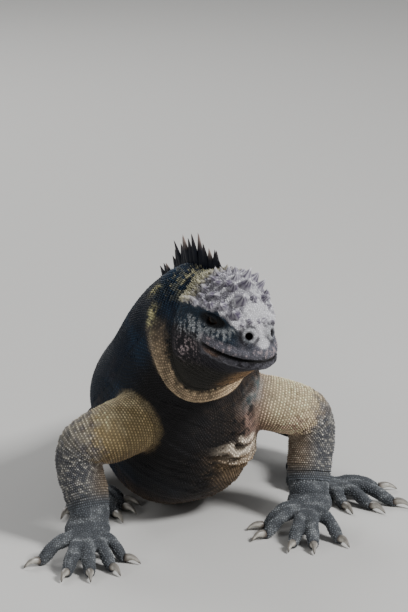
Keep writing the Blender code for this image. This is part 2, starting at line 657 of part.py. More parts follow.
def build_limbs():
    build_limb(RIGHT_ARM, "upper_arm_right", "forearm_right")
    build_limb(LEFT_ARM, "upper_arm_left", "forearm_left")
    build_limb(RIGHT_LEG, "thigh_right", "shin_right")
    build_limb(LEFT_LEG, "thigh_left", "shin_left")
    build_foot("hand_right", RIGHT_ARM, -5.0, -1, HAND_PALM, RIGHT_HAND, HAND_CLAW)
    build_foot("hand_left", LEFT_ARM, 0.0, 1, HAND_PALM, LEFT_HAND, HAND_CLAW)
    build_foot("foot_right", RIGHT_LEG, 26.0, -1, FOOT_PALM, RIGHT_FOOT, FOOT_CLAW)
    build_foot("foot_left", LEFT_LEG, 52.0, 1, FOOT_PALM, LEFT_FOOT, FOOT_CLAW)


def skin_material(kind):
    material = bpy.data.materials.new(kind)
    material.use_nodes = True
    shader = material.node_tree.nodes["Principled BSDF"]
    shader.inputs["Base Color"].default_value = (*SKIN_COLOURS[kind], 1.0)
    shader.inputs["Roughness"].default_value = 0.25 if kind == "eye" else 0.7
    shader.inputs["Metallic"].default_value = 0.0
    return material


def kind_of(name):
    for word, kind in (("claw", "claw"), ("eye", "eye"), ("head", "head"), ("neck", "neck"),
                       ("torso", "torso"), ("tail", "tail"), ("arm", "arm"), ("hand", "hand"),
                       ("foot", "hand")):
        if word in name:
            return kind
    return "leg"


def finish_pieces():
    """Materials, smooth shading and the empty that brings the box's bottom centre to the origin."""
    pieces = list(bpy.context.scene.objects)
    corners = np.array([tuple(vertex.co) for piece in pieces for vertex in piece.data.vertices])
    low, high = corners.min(axis=0), corners.max(axis=0)
    middle = 0.5 * (low + high)
    stance = bpy.data.objects.new("stance", None)
    bpy.context.scene.collection.objects.link(stance)
    stance.location = (-middle[0], -middle[1], -low[2])
    materials = {kind: skin_material(kind) for kind in SKIN_COLOURS}
    for piece in pieces:
        piece.parent = stance
        piece.data.materials.clear()
        piece.data.materials.append(materials[kind_of(piece.name)])
        piece.data.shade_smooth()
        piece.data.set_sharp_from_angle(angle=math.radians(50.0))


def main():
    for item in list(bpy.data.objects):
        bpy.data.objects.remove(item)
    build_trunk()
    build_head()
    build_limbs()
    finish_pieces()


main()
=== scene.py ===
import math
from functools import partial

import bpy
import numpy as np
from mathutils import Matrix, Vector
from mathutils.bvhtree import BVHTree
from mathutils.kdtree import KDTree


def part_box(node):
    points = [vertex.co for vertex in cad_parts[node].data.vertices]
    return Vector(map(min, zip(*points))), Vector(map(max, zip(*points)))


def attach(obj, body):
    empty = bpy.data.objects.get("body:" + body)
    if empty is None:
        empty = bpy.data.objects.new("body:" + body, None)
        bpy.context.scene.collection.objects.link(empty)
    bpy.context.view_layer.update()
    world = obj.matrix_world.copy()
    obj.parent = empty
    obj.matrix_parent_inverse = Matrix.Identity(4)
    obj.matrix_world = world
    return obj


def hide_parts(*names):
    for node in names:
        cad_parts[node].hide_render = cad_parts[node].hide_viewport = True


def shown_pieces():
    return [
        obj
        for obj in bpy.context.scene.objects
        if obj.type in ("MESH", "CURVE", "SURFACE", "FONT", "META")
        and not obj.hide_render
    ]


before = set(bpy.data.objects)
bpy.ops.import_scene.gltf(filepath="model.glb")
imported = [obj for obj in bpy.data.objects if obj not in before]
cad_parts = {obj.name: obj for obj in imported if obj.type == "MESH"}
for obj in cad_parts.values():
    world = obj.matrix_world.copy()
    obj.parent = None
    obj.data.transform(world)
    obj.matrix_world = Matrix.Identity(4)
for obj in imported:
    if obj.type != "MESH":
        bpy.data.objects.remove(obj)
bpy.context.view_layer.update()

fullTurn, quarterTurn = 2.0 * math.pi, 0.5 * math.pi     # a section's top is at a quarter turn

# Marine iguana, life size, head turned to its left. Lengths are millimetres in the stance frame,
# where the animal faces -Y, its left is +X and the floor is z = 0; toFrame moves it onto the part.

trunk = {  # x, y, z, half width, up, down, round top, round low, narrow, pitch, lean
    "stations": (
        (4.6, 5, 156.5, 30, 36, 46, 2.5, 2.5, 0.25, -5, 0),
        (-2.6, 18, 155.7, 33.5, 37, 54, 2.3, 2.5, 0.18, 8, 5),
        (-6.5, 30, 149.5, 37, 38, 55, 2.1, 2.4, 0.10, 18, 8),
        (-9.5, 42, 139, 43, 41, 56, 2, 2.5, 0.03, 30, 10),
        (-18, 66, 113, 49, 42, 71, 2, 2.9, 0, 40, 12),
        (-26, 101, 84, 54, 45, 84, 2, 2.6, 0, 36, 12),
        (-25.5, 151, 58, 51, 42, 62, 2, 2.7, 0, 20, 7),
        (-19, 215, 44, 38, 34, 46, 2, 2.4, 0, 9, 2),
        (-13, 265, 31, 27, 28, 32, 2, 2.1, 0, 5, 0),
        (-16, 315, 26, 21, 27, 27, 2, 2, 0, 3, 0),
        (-25, 362, 23.5, 18, 25, 24.2, 2, 2, 0, 2, 0),
        (-31, 412, 21, 15, 22.5, 21.6, 2, 2, 0, 2, 0),
        (-29, 462, 18, 12, 19.5, 18.6, 2, 2, 0, 3, 0),
        (-16, 510, 15, 9.5, 16.5, 15.4, 2, 2, 0, 3, 0),
        (4, 543, 12, 7.5, 13.5, 12.3, 2, 2, 0, 3, 0),
        (25, 546, 10, 6.2, 11.2, 10.2, 2, 2, 0, 3, 0),
        (37, 524, 8.2, 5.2, 9.4, 8.4, 2, 2, 0, 3, 0),
        (36, 490, 6.4, 4.1, 7.4, 6.6, 2, 2, 0, 3, 0),
        (28, 455, 4.4, 2.8, 5, 4.5, 2, 2, 0, 2, 0),
        (24, 422, 2.4, 1.4, 2.6, 2.5, 2, 2, 0, 2, 0)),
    "foldDepth": 0.6,        # wrinkles of the loose chest skin
    "gularFold": 4,
    "shoulder": (36, 46, 84), "armpit": (28, 40, 71),
    "crescents": (8.5, 17, 25), "crescentRise": 3.5,
}

head = {
    "rows": (  # forward, half width, top, jaw, height of the mouth line
        (0, 30, 36, 46, 0), (10, 30.5, 39, 43, 0), (20, 28.5, 42, 37, 0),
        (30, 26, 43.2, 28.5, -0.8), (40, 23, 41, 19.5, -2.6),
        (47, 20, 36.5, 14.5, -3.9), (52, 17.5, 30.5, 11.6, -4.5),
        (56, 15, 23.5, 9.6, -4.8), (60, 12.2, 17.5, 8.2, -5), (63, 9, 12.8, 7.2, -5),
        (65.2, 5.4, 7.6, 5.2, -5), (66, 2.6, 3.6, 2.8, -5)),
    "tip": (66.4, -5),
    "yaw": 32, "pitch": -5,
    "round": 2.5, "narrow": 0.25,
    "mouthCorner": 33,
    "eye": (33, 15.6, 15.5), "eyeRadius": 6.2,
    "slit": (6.4, 2.5),      # half length and half height between the lids
    "nostril": (57.6, 7.6, 10.6), "nostrilRadius": 2.5, "nostrilWay": (0.80, 0.55, 0.15),
    "browRise": 4.2, "lipRise": 1.6,
    "swells": (  # rise, forward and its spread, height and its spread, least distance sideways
        (-5.2, 33, 9.5, 14.7, 5.2, 8),     # eye pit, then two dips behind the nostril
        (-2, 45.5, 3.2, 12, 3.2, 6), (-1.4, 51, 2.2, 10, 2.4, 6),
        (2.4, 11, 8, -9, 9, -1), (1.3, 24, 14, 5.5, 3, -1)),    # jowl, cheek
    "brow": ((3, 24, 19), (14, 24, 21.5), (25, 22, 22), (36, 20, 22),
             (44, 17, 20.5), (52, 12, 15.5)),
    "saltLine": ((0, 19), (14, 21.5), (25, 22), (36, 22), (44, 20),
                 (50, 16.5), (55, 13), (60, 8.5), (64, 4), (66.4, 2)),
}


def interpolate(rows, at, limited=True):  # cubic through rows, first column is the position
    rows = np.asarray(rows, float)
    place, value = rows[:, 0], rows[:, 1:]
    step = np.diff(place)[:, None]
    slope = np.diff(value, axis=0) / step
    tangent = np.empty_like(value)
    tangent[0], tangent[-1] = slope[0], slope[-1]
    tangent[1:-1] = (slope[:-1] * step[1:] + slope[1:] * step[:-1]) / (step[1:] + step[:-1])
    if limited:
        least = 3.0 * np.minimum(abs(slope[:-1]), abs(slope[1:]))
        inner = np.clip(tangent[1:-1], -least, least)
        tangent[1:-1] = np.where(slope[:-1] * slope[1:] > 0.0, inner, 0.0)
    at = np.clip(np.atleast_1d(np.asarray(at, float)), place[0], place[-1])
    i = np.clip(np.searchsorted(place, at, side="right") - 1, 0, len(place) - 2)
    u = ((at - place[i]) / step[i, 0])[:, None]
    rise = step[i] * ((u ** 3 - 2 * u ** 2 + u) * tangent[i] + (u ** 3 - u ** 2) * tangent[i + 1])
    blend = 3 * u ** 2 - 2 * u ** 3
    return (1.0 - blend) * value[i] + blend * value[i + 1] + rise


def norm(vectors):
    return np.linalg.norm(vectors, axis=-1)


def unit(vectors):
    return vectors / np.maximum(norm(vectors)[..., None], 1e-9)


def kept(keep, *arrays):  # the chosen rows of several arrays
    return [rows[keep] for rows in arrays]


def bump(value, centre, spread):
    return np.exp(-((value - centre) / spread) ** 2)


def limit(value):
    return np.clip(value, 0.0, 1.0)


def smooth(value, low, high):  # 0 below low, 1 above high, rounded between
    u = limit((value - low) / (high - low))
    return u * u * (3.0 - 2.0 * u)


def fade(value, low, high):  # 1 below low, 0 above high
    return 1.0 - smooth(value, low, high)


def runAlong(points):  # distance run at each point of a line
    return np.concatenate(([0.0], np.cumsum(norm(np.diff(points, axis=0)))))


def heading(yaw, pitch):  # looks along -Y, turned by yaw towards +X and raised by pitch
    yaw, pitch = np.radians(yaw), np.radians(pitch)
    return np.stack((np.sin(yaw) * np.cos(pitch), -np.cos(yaw) * np.cos(pitch), np.sin(pitch)),
                    axis=-1)


def mottle(points, size, seed):  # smooth patches from a sum of plane waves, about -1 to 1
    chance = np.random.default_rng(seed)
    total = np.zeros(len(points))
    for _ in range(7):
        wave = unit(chance.normal(size=3)) * fullTurn / (size * chance.uniform(0.7, 1.6))
        total += np.sin(points @ wave + chance.uniform(0.0, 6.28))
    return total / 3.2


stations = np.asarray(trunk["stations"], float)
headForward = heading(head["yaw"], head["pitch"])
headLeft = unit(np.cross((0.0, 0.0, 1.0), headForward))
headUp = np.cross(headForward, headLeft)
headOrigin = stations[0, :3]
trunkPlace = runAlong(stations[:, :3])
trunkLength = trunkPlace[-1]
trunkRun = np.gradient(stations[:, :2], trunkPlace, axis=0)
trunkYaw = np.degrees(np.unwrap(np.arctan2(-trunkRun[:, 0], trunkRun[:, 1])))
trunkYaw[0] = head["yaw"]
trunkAngles = np.column_stack((trunkPlace, trunkYaw, stations[:, 9:]))
trunkCentres = np.column_stack((trunkPlace, stations[:, :3]))
trunkSizes = np.column_stack((trunkPlace, stations[:, 3:9]))


def trunkFrame(place):  # forward, left and up of the section there
    yaw, pitch, lean = interpolate(trunkAngles, place).T
    forward = heading(yaw, pitch)
    left = unit(np.cross((0.0, 0.0, 1.0), forward))
    up = np.cross(forward, left)
    lean = np.radians(lean)[:, None]
    return (forward, left * np.cos(lean) + up * np.sin(lean),
            up * np.cos(lean) - left * np.sin(lean))


# A section is a superellipse: side = cos^(2/n) x half width, height = sin^(2/n) x up or down,
# and the upper half narrows by a share of its height.
def halfSection(turn, width, top, depth, roundTop, roundLow, narrow):
    cosine, sine = np.cos(turn), np.sin(turn)
    power = 2.0 / np.where(sine >= 0.0, roundTop, roundLow)
    side = np.sign(cosine) * abs(cosine) ** power * width
    rise = abs(sine) ** power
    side = side * np.where(sine >= 0.0, 1.0 - narrow * rise, 1.0)
    return side, np.where(sine >= 0.0, rise * top, -rise * depth)


def armpitReach(points):  # way from the armpit and an uneven distance
    away = points - np.array(trunk["armpit"])
    return away, norm(away) + 1.2 * mottle(points, 14, 13)


# Trunk: sections carried along the centre line and swollen outwards: a bump of place for the
# throat fold, rings about the armpit for its crescent folds, and broken slanting waves on the
# chest that fade to the flanks.
def trunkSurface(place, turn):
    width, top, depth, roundTop, roundLow, narrow = interpolate(trunkSizes, place).T
    side, height = halfSection(turn, width, top, depth, roundTop, roundLow, narrow)
    _, left, up = trunkFrame(place)
    middle = interpolate(trunkCentres, place, False)
    out = side[:, None] * left + height[:, None] * up
    points, out = middle + out, unit(out)
    under = limit(-np.sin(turn) + 0.55)
    swell = trunk["gularFold"] * under * bump(place, 15, 5.5)
    low = smooth(-np.sin(turn), -0.35, 0.35)
    chest = low * smooth(place, 24, 34) * fade(place, 120, 190)
    slant = points[:, 2] + 0.45 * points[:, 0] + 5.0 * mottle(points, 46, 12)
    broken = 0.35 + 0.65 * smooth(mottle(points, 24, 11), -0.5, 0.9)
    swell = swell + trunk["foldDepth"] * chest * broken * (
        np.sin(slant * 0.80) + 0.7 * np.sin(slant * 1.43 + 1.0))
    throat = low * fade(place, 6, 12)
    swell = swell + 0.5 * throat * np.sin(place * 1.9 + 3.0 * turn)
    away, reach = armpitReach(points)
    window = low * smooth(-away[:, 2] / reach, 0.35, 0.75)     # only below the armpit
    for ring in trunk["crescents"]:
        swell = swell + trunk["crescentRise"] * window * (
            bump(reach, ring, 1.9) - 0.35 * bump(reach, ring + 4.0, 1.5))
    points = points + swell[:, None] * out
    points[:, 2] = np.maximum(points[:, 2], 0.0)
    return points


def browDistance(forward, side, height):
    line = np.asarray(head["brow"], float)
    spot = np.stack((forward, abs(side), height), axis=-1)
    best = np.full(len(spot), 1e9)
    for start, end in zip(line[:-1], line[1:]):
        along = end - start
        u = limit(((spot - start) @ along) / (along @ along))
        best = np.minimum(best, norm(spot - start - u[:, None] * along))
    return best


def headPlace(forward, side, height):
    forward, side, height = (np.asarray(v, float)[..., None] for v in (forward, side, height))
    return headOrigin + forward * headForward + side * headLeft + height * headUp


def onSide(place, side):  # a place of the head's left half, or on the right with side -1
    return headPlace(place[0], side * place[1], place[2])


# Head: sections about the mouth line, swollen along their normals by bumps for brow, eye pit,
# snout, jowl and cheek, with a groove and two lips where the height is near the mouth line,
# crust over the salt line and waves of loose skin on the throat.
def headSurface(along, turn):
    width, top, jaw, line = interpolate(head["rows"], along).T
    side, height = halfSection(turn, width, top, jaw, head["round"], head["round"], head["narrow"])
    normal = unit(np.stack((side / width ** 2,
                            height / np.where(height > 0, top, jaw) ** 2), axis=-1))
    at, level = abs(side), height + line
    nostril = head["nostril"]
    swell = head["browRise"] * bump(browDistance(along, side, level), 0, 3.3)
    for rise, ahead, wide, above, tall, least in head["swells"]:
        swell += rise * bump(along, ahead, wide) * bump(level, above, tall) * (at > least)
    swell += 1.6 * bump(along, nostril[0] - 1.0, 5.0) * bump(at, nostril[1], 5.0) * bump(
        level, nostril[2], 5.0)
    gape = smooth(along, head["mouthCorner"] - 3.0, head["mouthCorner"] + 3.0)
    swell += gape * head["lipRise"] * (bump(height, 3.3, 2.1) + 0.9 * bump(height, -3.1, 2.1))
    swell -= gape * (3.0 * bump(height, 0, 0.85) + 0.7 * bump(height, -7.4, 1.5)
                     + 0.5 * bump(height, 7.2, 1.4))
    spot = np.stack((along, side, level), axis=-1)
    crust = smooth(level - interpolate(head["saltLine"], along)[:, 0], -1, 2)
    swell += crust * (0.45 * mottle(spot, 5.5, 17) + 0.25 * mottle(spot, 2.8, 18))
    fold = smooth(-level, 8, 16) * fade(along, 38, 48)
    swell += 0.55 * fold * np.sin(level * 1.25 + 0.016 * along * along + 0.05 * side)
    swell *= limit(along / 5.0)
    front = np.clip((head["tip"][0] - along) / 6.0, 0.15, 1.0)
    side = side + swell * front * normal[:, 0]
    height = level + swell * front * normal[:, 1]
    return headPlace(along, side, height)


limbs = {  # x, y, z, radius from inside the trunk outwards; the last point is the wrist or ankle
    "armRight": ((-18, 52, 90, 19), (-42, 33, 81, 20.5), (-63, 19, 74, 20.5),
                 (-82, 18, 66, 16.5), (-84, 17, 51, 15.7), (-80, 10, 37, 15),
                 (-77.5, 5, 26, 13.5)),
    "armLeft": ((4, 70, 92, 19), (30, 62, 86, 19.5), (52, 62, 81, 19.2),
                (71, 69, 72, 17), (74.5, 70, 56, 16), (73.5, 66, 40, 15.4),
                (73, 61, 27, 14)),
    "legRight": ((-24, 214, 42, 20), (-44, 200, 41, 19), (-64, 182, 36, 17),
                 (-79, 163, 29, 14.5), (-86, 147, 23, 12.5), (-89, 134, 17, 11),
                 (-90, 124, 12, 10)),
    "legLeft": ((-6, 212, 40, 20), (24, 204, 40, 19), (53, 192, 38, 17),
                (76, 177, 32, 15), (81, 158, 25, 13.5), (75, 139, 17.5, 11.5),
                (68, 127, 12, 10)),
}


def limbTable(rows):  # fine table of centre, side, rise and radius, the frame carried along
    at = np.linspace(0.0, 6.0, 241)
    table = np.column_stack((np.arange(len(rows)), np.asarray(rows, float)))
    values = interpolate(table, at, False)
    near = interpolate(table, at + 0.7, False) - interpolate(table, at - 0.7, False)
    forward = unit(near[:, :3])
    side, sides = np.array([0.0, 0.0, 1.0]), []
    for way in forward:
        side = unit(side - (side @ way) * way)
        sides.append(side)
    sides = np.array(sides)
    return np.column_stack((at, values[:, :3], sides, np.cross(sides, forward), values[:, 3]))


limbTables = {name: limbTable(rows) for name, rows in limbs.items()}


# Limb: circles carried along the centre line, fuller on the outer side of the forearm and calf,
# with folds of loose skin as short waves at the elbow or knee and at the wrist or ankle.
def limbSurface(name, at, turn):
    table = limbTables[name]
    columns = [np.interp(at, table[:, 0], table[:, k]) for k in range(1, 11)]
    centre, side, rise = (np.stack(columns[k:k + 3], axis=-1) for k in (0, 3, 6))
    wave = at * 26.0 + 1.6 * np.sin(turn + 0.5) + 0.7 * np.sin(3.0 * turn)
    folds = 0.030 * bump(at, 3, 0.55) * np.sin(wave) + 0.026 * bump(at, 5.45, 0.4) * np.sin(
        1.25 * wave + 1.0)
    muscle = 0.045 * bump(at, 2, 0.8) * np.cos(turn + 0.4) + 0.04 * bump(at, 3.9, 0.7) * np.cos(
        turn - 0.6)
    radius = columns[9] * (1.0 + folds + muscle
                           + 0.012 * np.sin(at * 9.0 + 2.0 * np.sin(turn)) * smooth(at, 2, 3))
    return centre + radius[:, None] * (np.cos(turn)[:, None] * side + np.sin(turn)[:, None] * rise)


detail = {  # points round a ring of each part, and rings along a limb and a digit
    "mouth": 36, "limb": 52, "limbRings": 90, "lid": 84, "ball": 40, "nostril": 44,
    "wrist": 40, "digit": 28, "digitRings": 25, "eye": 56, "blade": 8,
}


def evenTurns(count):
    return np.linspace(0.0, fullTurn, count, endpoint=False)


def ringGrid(surface, places, turns):  # rings of points, one for each place
    grid = np.meshgrid(places, turns, indexing="ij")
    return surface(grid[0].ravel(), grid[1].ravel()).reshape(len(places), len(turns), 3)


def tubeRings(centres, radii, around, startWay=None):  # circles across a line of centres
    centres = np.asarray(centres, float)
    forward = unit(np.gradient(centres, axis=0))
    if startWay is not None:
        forward[0] = startWay
    side = np.cross(forward, (0.0, 0.0, 1.0))
    if (norm(side) < 0.25).any():
        side = np.cross(forward, unit(np.array([0.3, 1.0, 0.0])))
    side = unit(side)
    rise = np.cross(side, forward)
    turn = evenTurns(around)
    radii = np.broadcast_to(np.asarray(radii, float), (len(centres),))
    return centres[:, None] + radii[:, None, None] * (
        np.cos(turn)[None, :, None] * side[:, None] + np.sin(turn)[None, :, None] * rise[:, None])


def bandFaces(levels, around):  # quads between the rings that follow each other
    i, j = np.meshgrid(np.arange(levels - 1) * around, np.arange(around), indexing="ij")
    k = (j + 1) % around
    return np.stack((i + j, i + k, i + k + around, i + j + around), axis=-1).reshape(-1, 4)


def closedRings(rings, first=None, last=None):  # points and faces, with a fan at each end
    count, around = rings.shape[:2]
    first = rings[0].mean(axis=0) if first is None else np.asarray(first, float)
    last = rings[-1].mean(axis=0) if last is None else np.asarray(last, float)
    points = np.concatenate((rings.reshape(-1, 3), [first, last]))
    quads = bandFaces(count, around)[:, [0, 3, 2, 1]]
    j = np.arange(around)
    k = (j + 1) % around
    base = (count - 1) * around
    fans = np.concatenate((np.stack((j, k, np.full(around, count * around)), axis=-1),
                           np.stack((base + k, base + j, np.full(around, count * around + 1)),
                                    axis=-1)))
    return points, [quads, fans]


eyeLow, eyeHigh = (np.asarray(corner, float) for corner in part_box("eye_left"))
toFrame = 0.5 * (eyeLow + eyeHigh) * 1000.0 - onSide(head["eye"], 1)


def addObject(name, data):
    added = bpy.data.objects.new(name, data)
    bpy.context.scene.collection.objects.link(added)
    return added


def addPiece(name, points, faces, colours=None, patches=None):  # points in mm, stance frame
    mesh = bpy.data.meshes.new(name)
    mesh.vertices.add(len(points))
    writePoints(mesh, points)
    sizes = np.concatenate([np.full(len(part), part.shape[1]) for part in faces])
    corners = np.concatenate([part.ravel() for part in faces]).astype(np.int32)
    mesh.loops.add(len(corners))
    mesh.loops.foreach_set("vertex_index", corners)
    mesh.polygons.add(len(sizes))
    mesh.polygons.foreach_set("loop_start", (np.cumsum(sizes) - sizes).astype(np.int32))
    mesh.update(calc_edges=True)
    if colours is not None:
        paint(mesh, colours)
    if patches is not None:
        bake = mesh.uv_layers.new(name="OFBake")
        bake.data.foreach_set("uv", patches[corners].ravel().astype(np.float32))
    mesh.shade_smooth()
    return addObject(name, mesh)


def paint(mesh, colours):  # linear colour for each vertex, read by the materials
    layer = mesh.color_attributes.new("hide", "FLOAT_COLOR", "POINT")
    layer.data.foreach_set("color", np.column_stack((colours, np.ones(len(colours)))).ravel())


def readPoints(mesh):
    points = np.empty(3 * len(mesh.vertices), np.float32)
    mesh.vertices.foreach_get("co", points)
    return points.reshape(-1, 3).astype(float) * 1000.0 - toFrame


def writePoints(mesh, points):
    mesh.vertices.foreach_set("co", ((points + toFrame) * 0.001).ravel())
    mesh.update()


def combine(piece, others, operation):  # joins or cuts with closed pieces, then removes them
    group = bpy.data.collections.new("group")
    bpy.context.scene.collection.children.link(group)
    for other in others:
        bpy.context.scene.collection.objects.unlink(other)
        group.objects.link(other)
    modifier = piece.modifiers.new("combine", "BOOLEAN")
    modifier.operation, modifier.solver = operation, "MANIFOLD"
    modifier.operand_type, modifier.collection = "COLLECTION", group
    settle(piece)
    for other in others:
        bpy.data.objects.remove(other)
    bpy.data.collections.remove(group)


def settle(piece):  # applies every modifier
    bpy.context.view_layer.update()
    result = bpy.data.meshes.new_from_object(
        piece.evaluated_get(bpy.context.evaluated_depsgraph_get()))
    piece.modifiers.clear()
    piece.data = result
    piece.data.name = piece.name


def relax(mesh, weight, rounds):  # each point moves towards the mean of its neighbours
    points, ends = readPoints(mesh), np.empty(2 * len(mesh.edges), np.int32)
    mesh.edges.foreach_get("vertices", ends)
    a, b = ends.reshape(-1, 2).T
    count = np.bincount(a, minlength=len(points)) + np.bincount(b, minlength=len(points))
    for _ in range(rounds):
        total = np.stack([np.bincount(a, points[b, k], len(points))
                          + np.bincount(b, points[a, k], len(points)) for k in range(3)], axis=-1)
        points += weight[:, None] * (total / np.maximum(count, 1)[:, None] - points)
    points[:, 2] = np.maximum(points[:, 2], 0.0)
    writePoints(mesh, points)


def triangles(mesh):  # corner numbers, three for each triangle
    mesh.calc_loop_triangles()
    corners = np.empty(3 * len(mesh.loop_triangles), np.int32)
    mesh.loop_triangles.foreach_get("vertices", corners)
    return corners.reshape(-1, 3)


def outward(piece):  # turns a piece's faces outwards if its volume is negative
    points = readPoints(piece.data)[triangles(piece.data)]
    points = points - points.mean(axis=(0, 1))
    if np.einsum("ij,ij->i", points[:, 0], np.cross(points[:, 1], points[:, 2])).sum() < 0.0:
        piece.data.flip_normals()
    return piece


def closedPiece(name, rings, first=None, last=None):
    return outward(addPiece(name, *closedRings(rings, first, last)))


def ballRings(centre, radii, axes, around=detail["ball"]):  # ellipsoid, with both poles
    lift = np.linspace(-quarterTurn, quarterTurn, around // 2 + 1)[1:-1]
    turn = evenTurns(around)
    ring = np.cos(turn)[:, None] * axes[0] * radii[0] + np.sin(turn)[:, None] * axes[1] * radii[1]
    rows = centre + np.cos(lift)[:, None, None] * ring + (
        np.sin(lift)[:, None, None] * axes[2] * radii[2])
    return rows, centre - axes[2] * radii[2], centre + axes[2] * radii[2]


def mouthTurns(count):  # turns round the head, close together at the mouth line
    quarter = quarterTurn * (np.arange(count) / count) ** 1.5
    after = math.pi - quarterTurn * (np.arange(count, 0, -1) / count) ** 1.5
    half = np.concatenate((quarter, after))
    return np.concatenate((half, half + math.pi))


openings = {  # steps along the nostril's axis and the radius at each
    "rim": ((-5, -2, 0, 1.2, 1.9), (6.3, 6.1, 5.5, 4.8, 4)),
    "nostril": ((-5.5, -3, 0, 2, 6), (1.2, 2.1, head["nostrilRadius"], 2.6, 3)),
}


skinRows = {  # from, to and step along the head and trunk, finer where they are most folded
    "snout": (65.7, 60.0, 14), "head": (59.4, 0.3, -0.62),     # the snout's last is a count
    "trunk": ((0, 60, 1.2), (60, 130, 1.6), (130, 300, 3), (300, trunkLength - 1, 5)),
}
joins = {  # share and rounds of the smoothing at the limbs and throat, and where it fades out
    "limb": (0.6, 16), "limbReach": (22, 34), "throat": (0.6, 50), "throatReach": (62, 76),
}


def buildSkin():
    turns = mouthTurns(detail["mouth"])
    along = np.concatenate((np.linspace(*skinRows["snout"]), np.arange(*skinRows["head"])))
    places = np.concatenate([np.arange(*band) for band in skinRows["trunk"]])
    rings = np.concatenate((ringGrid(headSurface, along, turns),
                            ringGrid(trunkSurface, places, turns)))
    tip = headPlace(head["tip"][0], 0.0, head["tip"][1])
    end = interpolate(trunkCentres, trunkLength, False)[0]
    skin = closedPiece("skin", rings, tip, end)
    joined, cut = [], []
    for name in limbs:
        joined.append(closedPiece(name, ringGrid(
            partial(limbSurface, name), np.linspace(0.0, 6.0, detail["limbRings"]),
            evenTurns(detail["limb"]))))
    for hand in handPieces.values():
        joined.append(addObject("hand", hand.data.copy()))
    radius, slit = head["eyeRadius"], head["slit"]
    for side in (-1, 1):
        centre = onSide(head["eye"], side)
        axes = (headForward, headUp, side * headLeft)
        joined.append(closedPiece("lid", *ballRings(
            centre, (radius + 1.5,) * 3, axes, detail["lid"])))
        cut.append(closedPiece("socket", *ballRings(centre, (radius + 0.25,) * 3, axes)))
        middle = centre + side * 7.0 * headLeft
        cut.append(closedPiece("slit", *ballRings(middle, (slit[0], slit[1], 5.0), axes)))
        opening, out = nostrilAxis(side)
        for name, pieces in (("rim", joined), ("nostril", cut)):
            steps, radii = openings[name]
            line = [opening + out * step for step in steps]
            pieces.append(closedPiece(name, tubeRings(line, radii, detail["nostril"])))
    combine(skin, joined, "UNION")
    combine(skin, cut, "DIFFERENCE")
    return skin


def nostrilAxis(side):  # middle of the opening and the way that it faces
    ahead, aside, above = head["nostrilWay"]
    out = unit(ahead * headForward + side * aside * headLeft + above * headUp)
    return onSide(head["nostril"], side), out


def shapeOpenings(points):  # a thick rim and a crease about each slit, a ridge round each nostril
    slit = head["slit"]
    for side in (-1, 1):
        away = points - onSide(head["eye"], side)
        reach = norm(away)
        ahead, level, out = away @ headForward, away @ headUp, side * (away @ headLeft)
        oval = np.hypot(ahead / slit[0], level / slit[1])
        near = (out > 0.0) * bump(reach, head["eyeRadius"] + 1.2, 1.8)
        rise = (0.9 * bump(oval, 1.30, 0.30) - 0.5 * bump(oval, 2.05, 0.28)
                + 0.5 * bump(oval, 2.7, 0.3))
        points = points + (near * rise)[:, None] * unit(away)
        hole, out = nostrilAxis(side)
        away = points - hole
        depth = away @ out
        apart = norm(away - depth[:, None] * out)
        near = bump(depth, 0.5, 4) * bump(apart, head["nostrilRadius"] + 0.9, 1.0)
        points = points + (0.9 * near)[:, None] * out
    return points


# Limb, heading, outward side, palm (length, half width, half thickness, middle's height, slope),
# claw length and digits (spread from the heading, reach, thickness).
hands = {
    "handRight": ("armRight", -5, -1, (21, 15.5, 9, 15, 12), 12,
                  ((-64, 17, 4), (-33, 25, 4.3), (-10, 31, 4.5), (9, 32, 4.5), (48, 24, 4.3))),
    "handLeft": ("armLeft", 0, 1, (21, 15.5, 9, 15, 12), 12,
                 ((-76, 19, 4), (-50, 27, 4.3), (-16, 33, 4.5), (1, 34, 4.5), (28, 27, 4.3))),
    "footRight": ("legRight", 26, -1, (26, 14, 9.5, 5, 0), 14,
                  ((-34, 15, 3.8), (-14, 26, 4), (3, 37, 4.3), (18, 45, 4.4), (46, 28, 4.2))),
    "footLeft": ("legLeft", 52, 1, (26, 14, 9.5, 5, 0), 14,
                 ((-56, 16, 3.8), (-30, 26, 4), (-10, 37, 4.3), (8, 45, 4.4), (44, 28, 4.2))),
}
handGrain = 0.0012     # edge of a voxel in metres


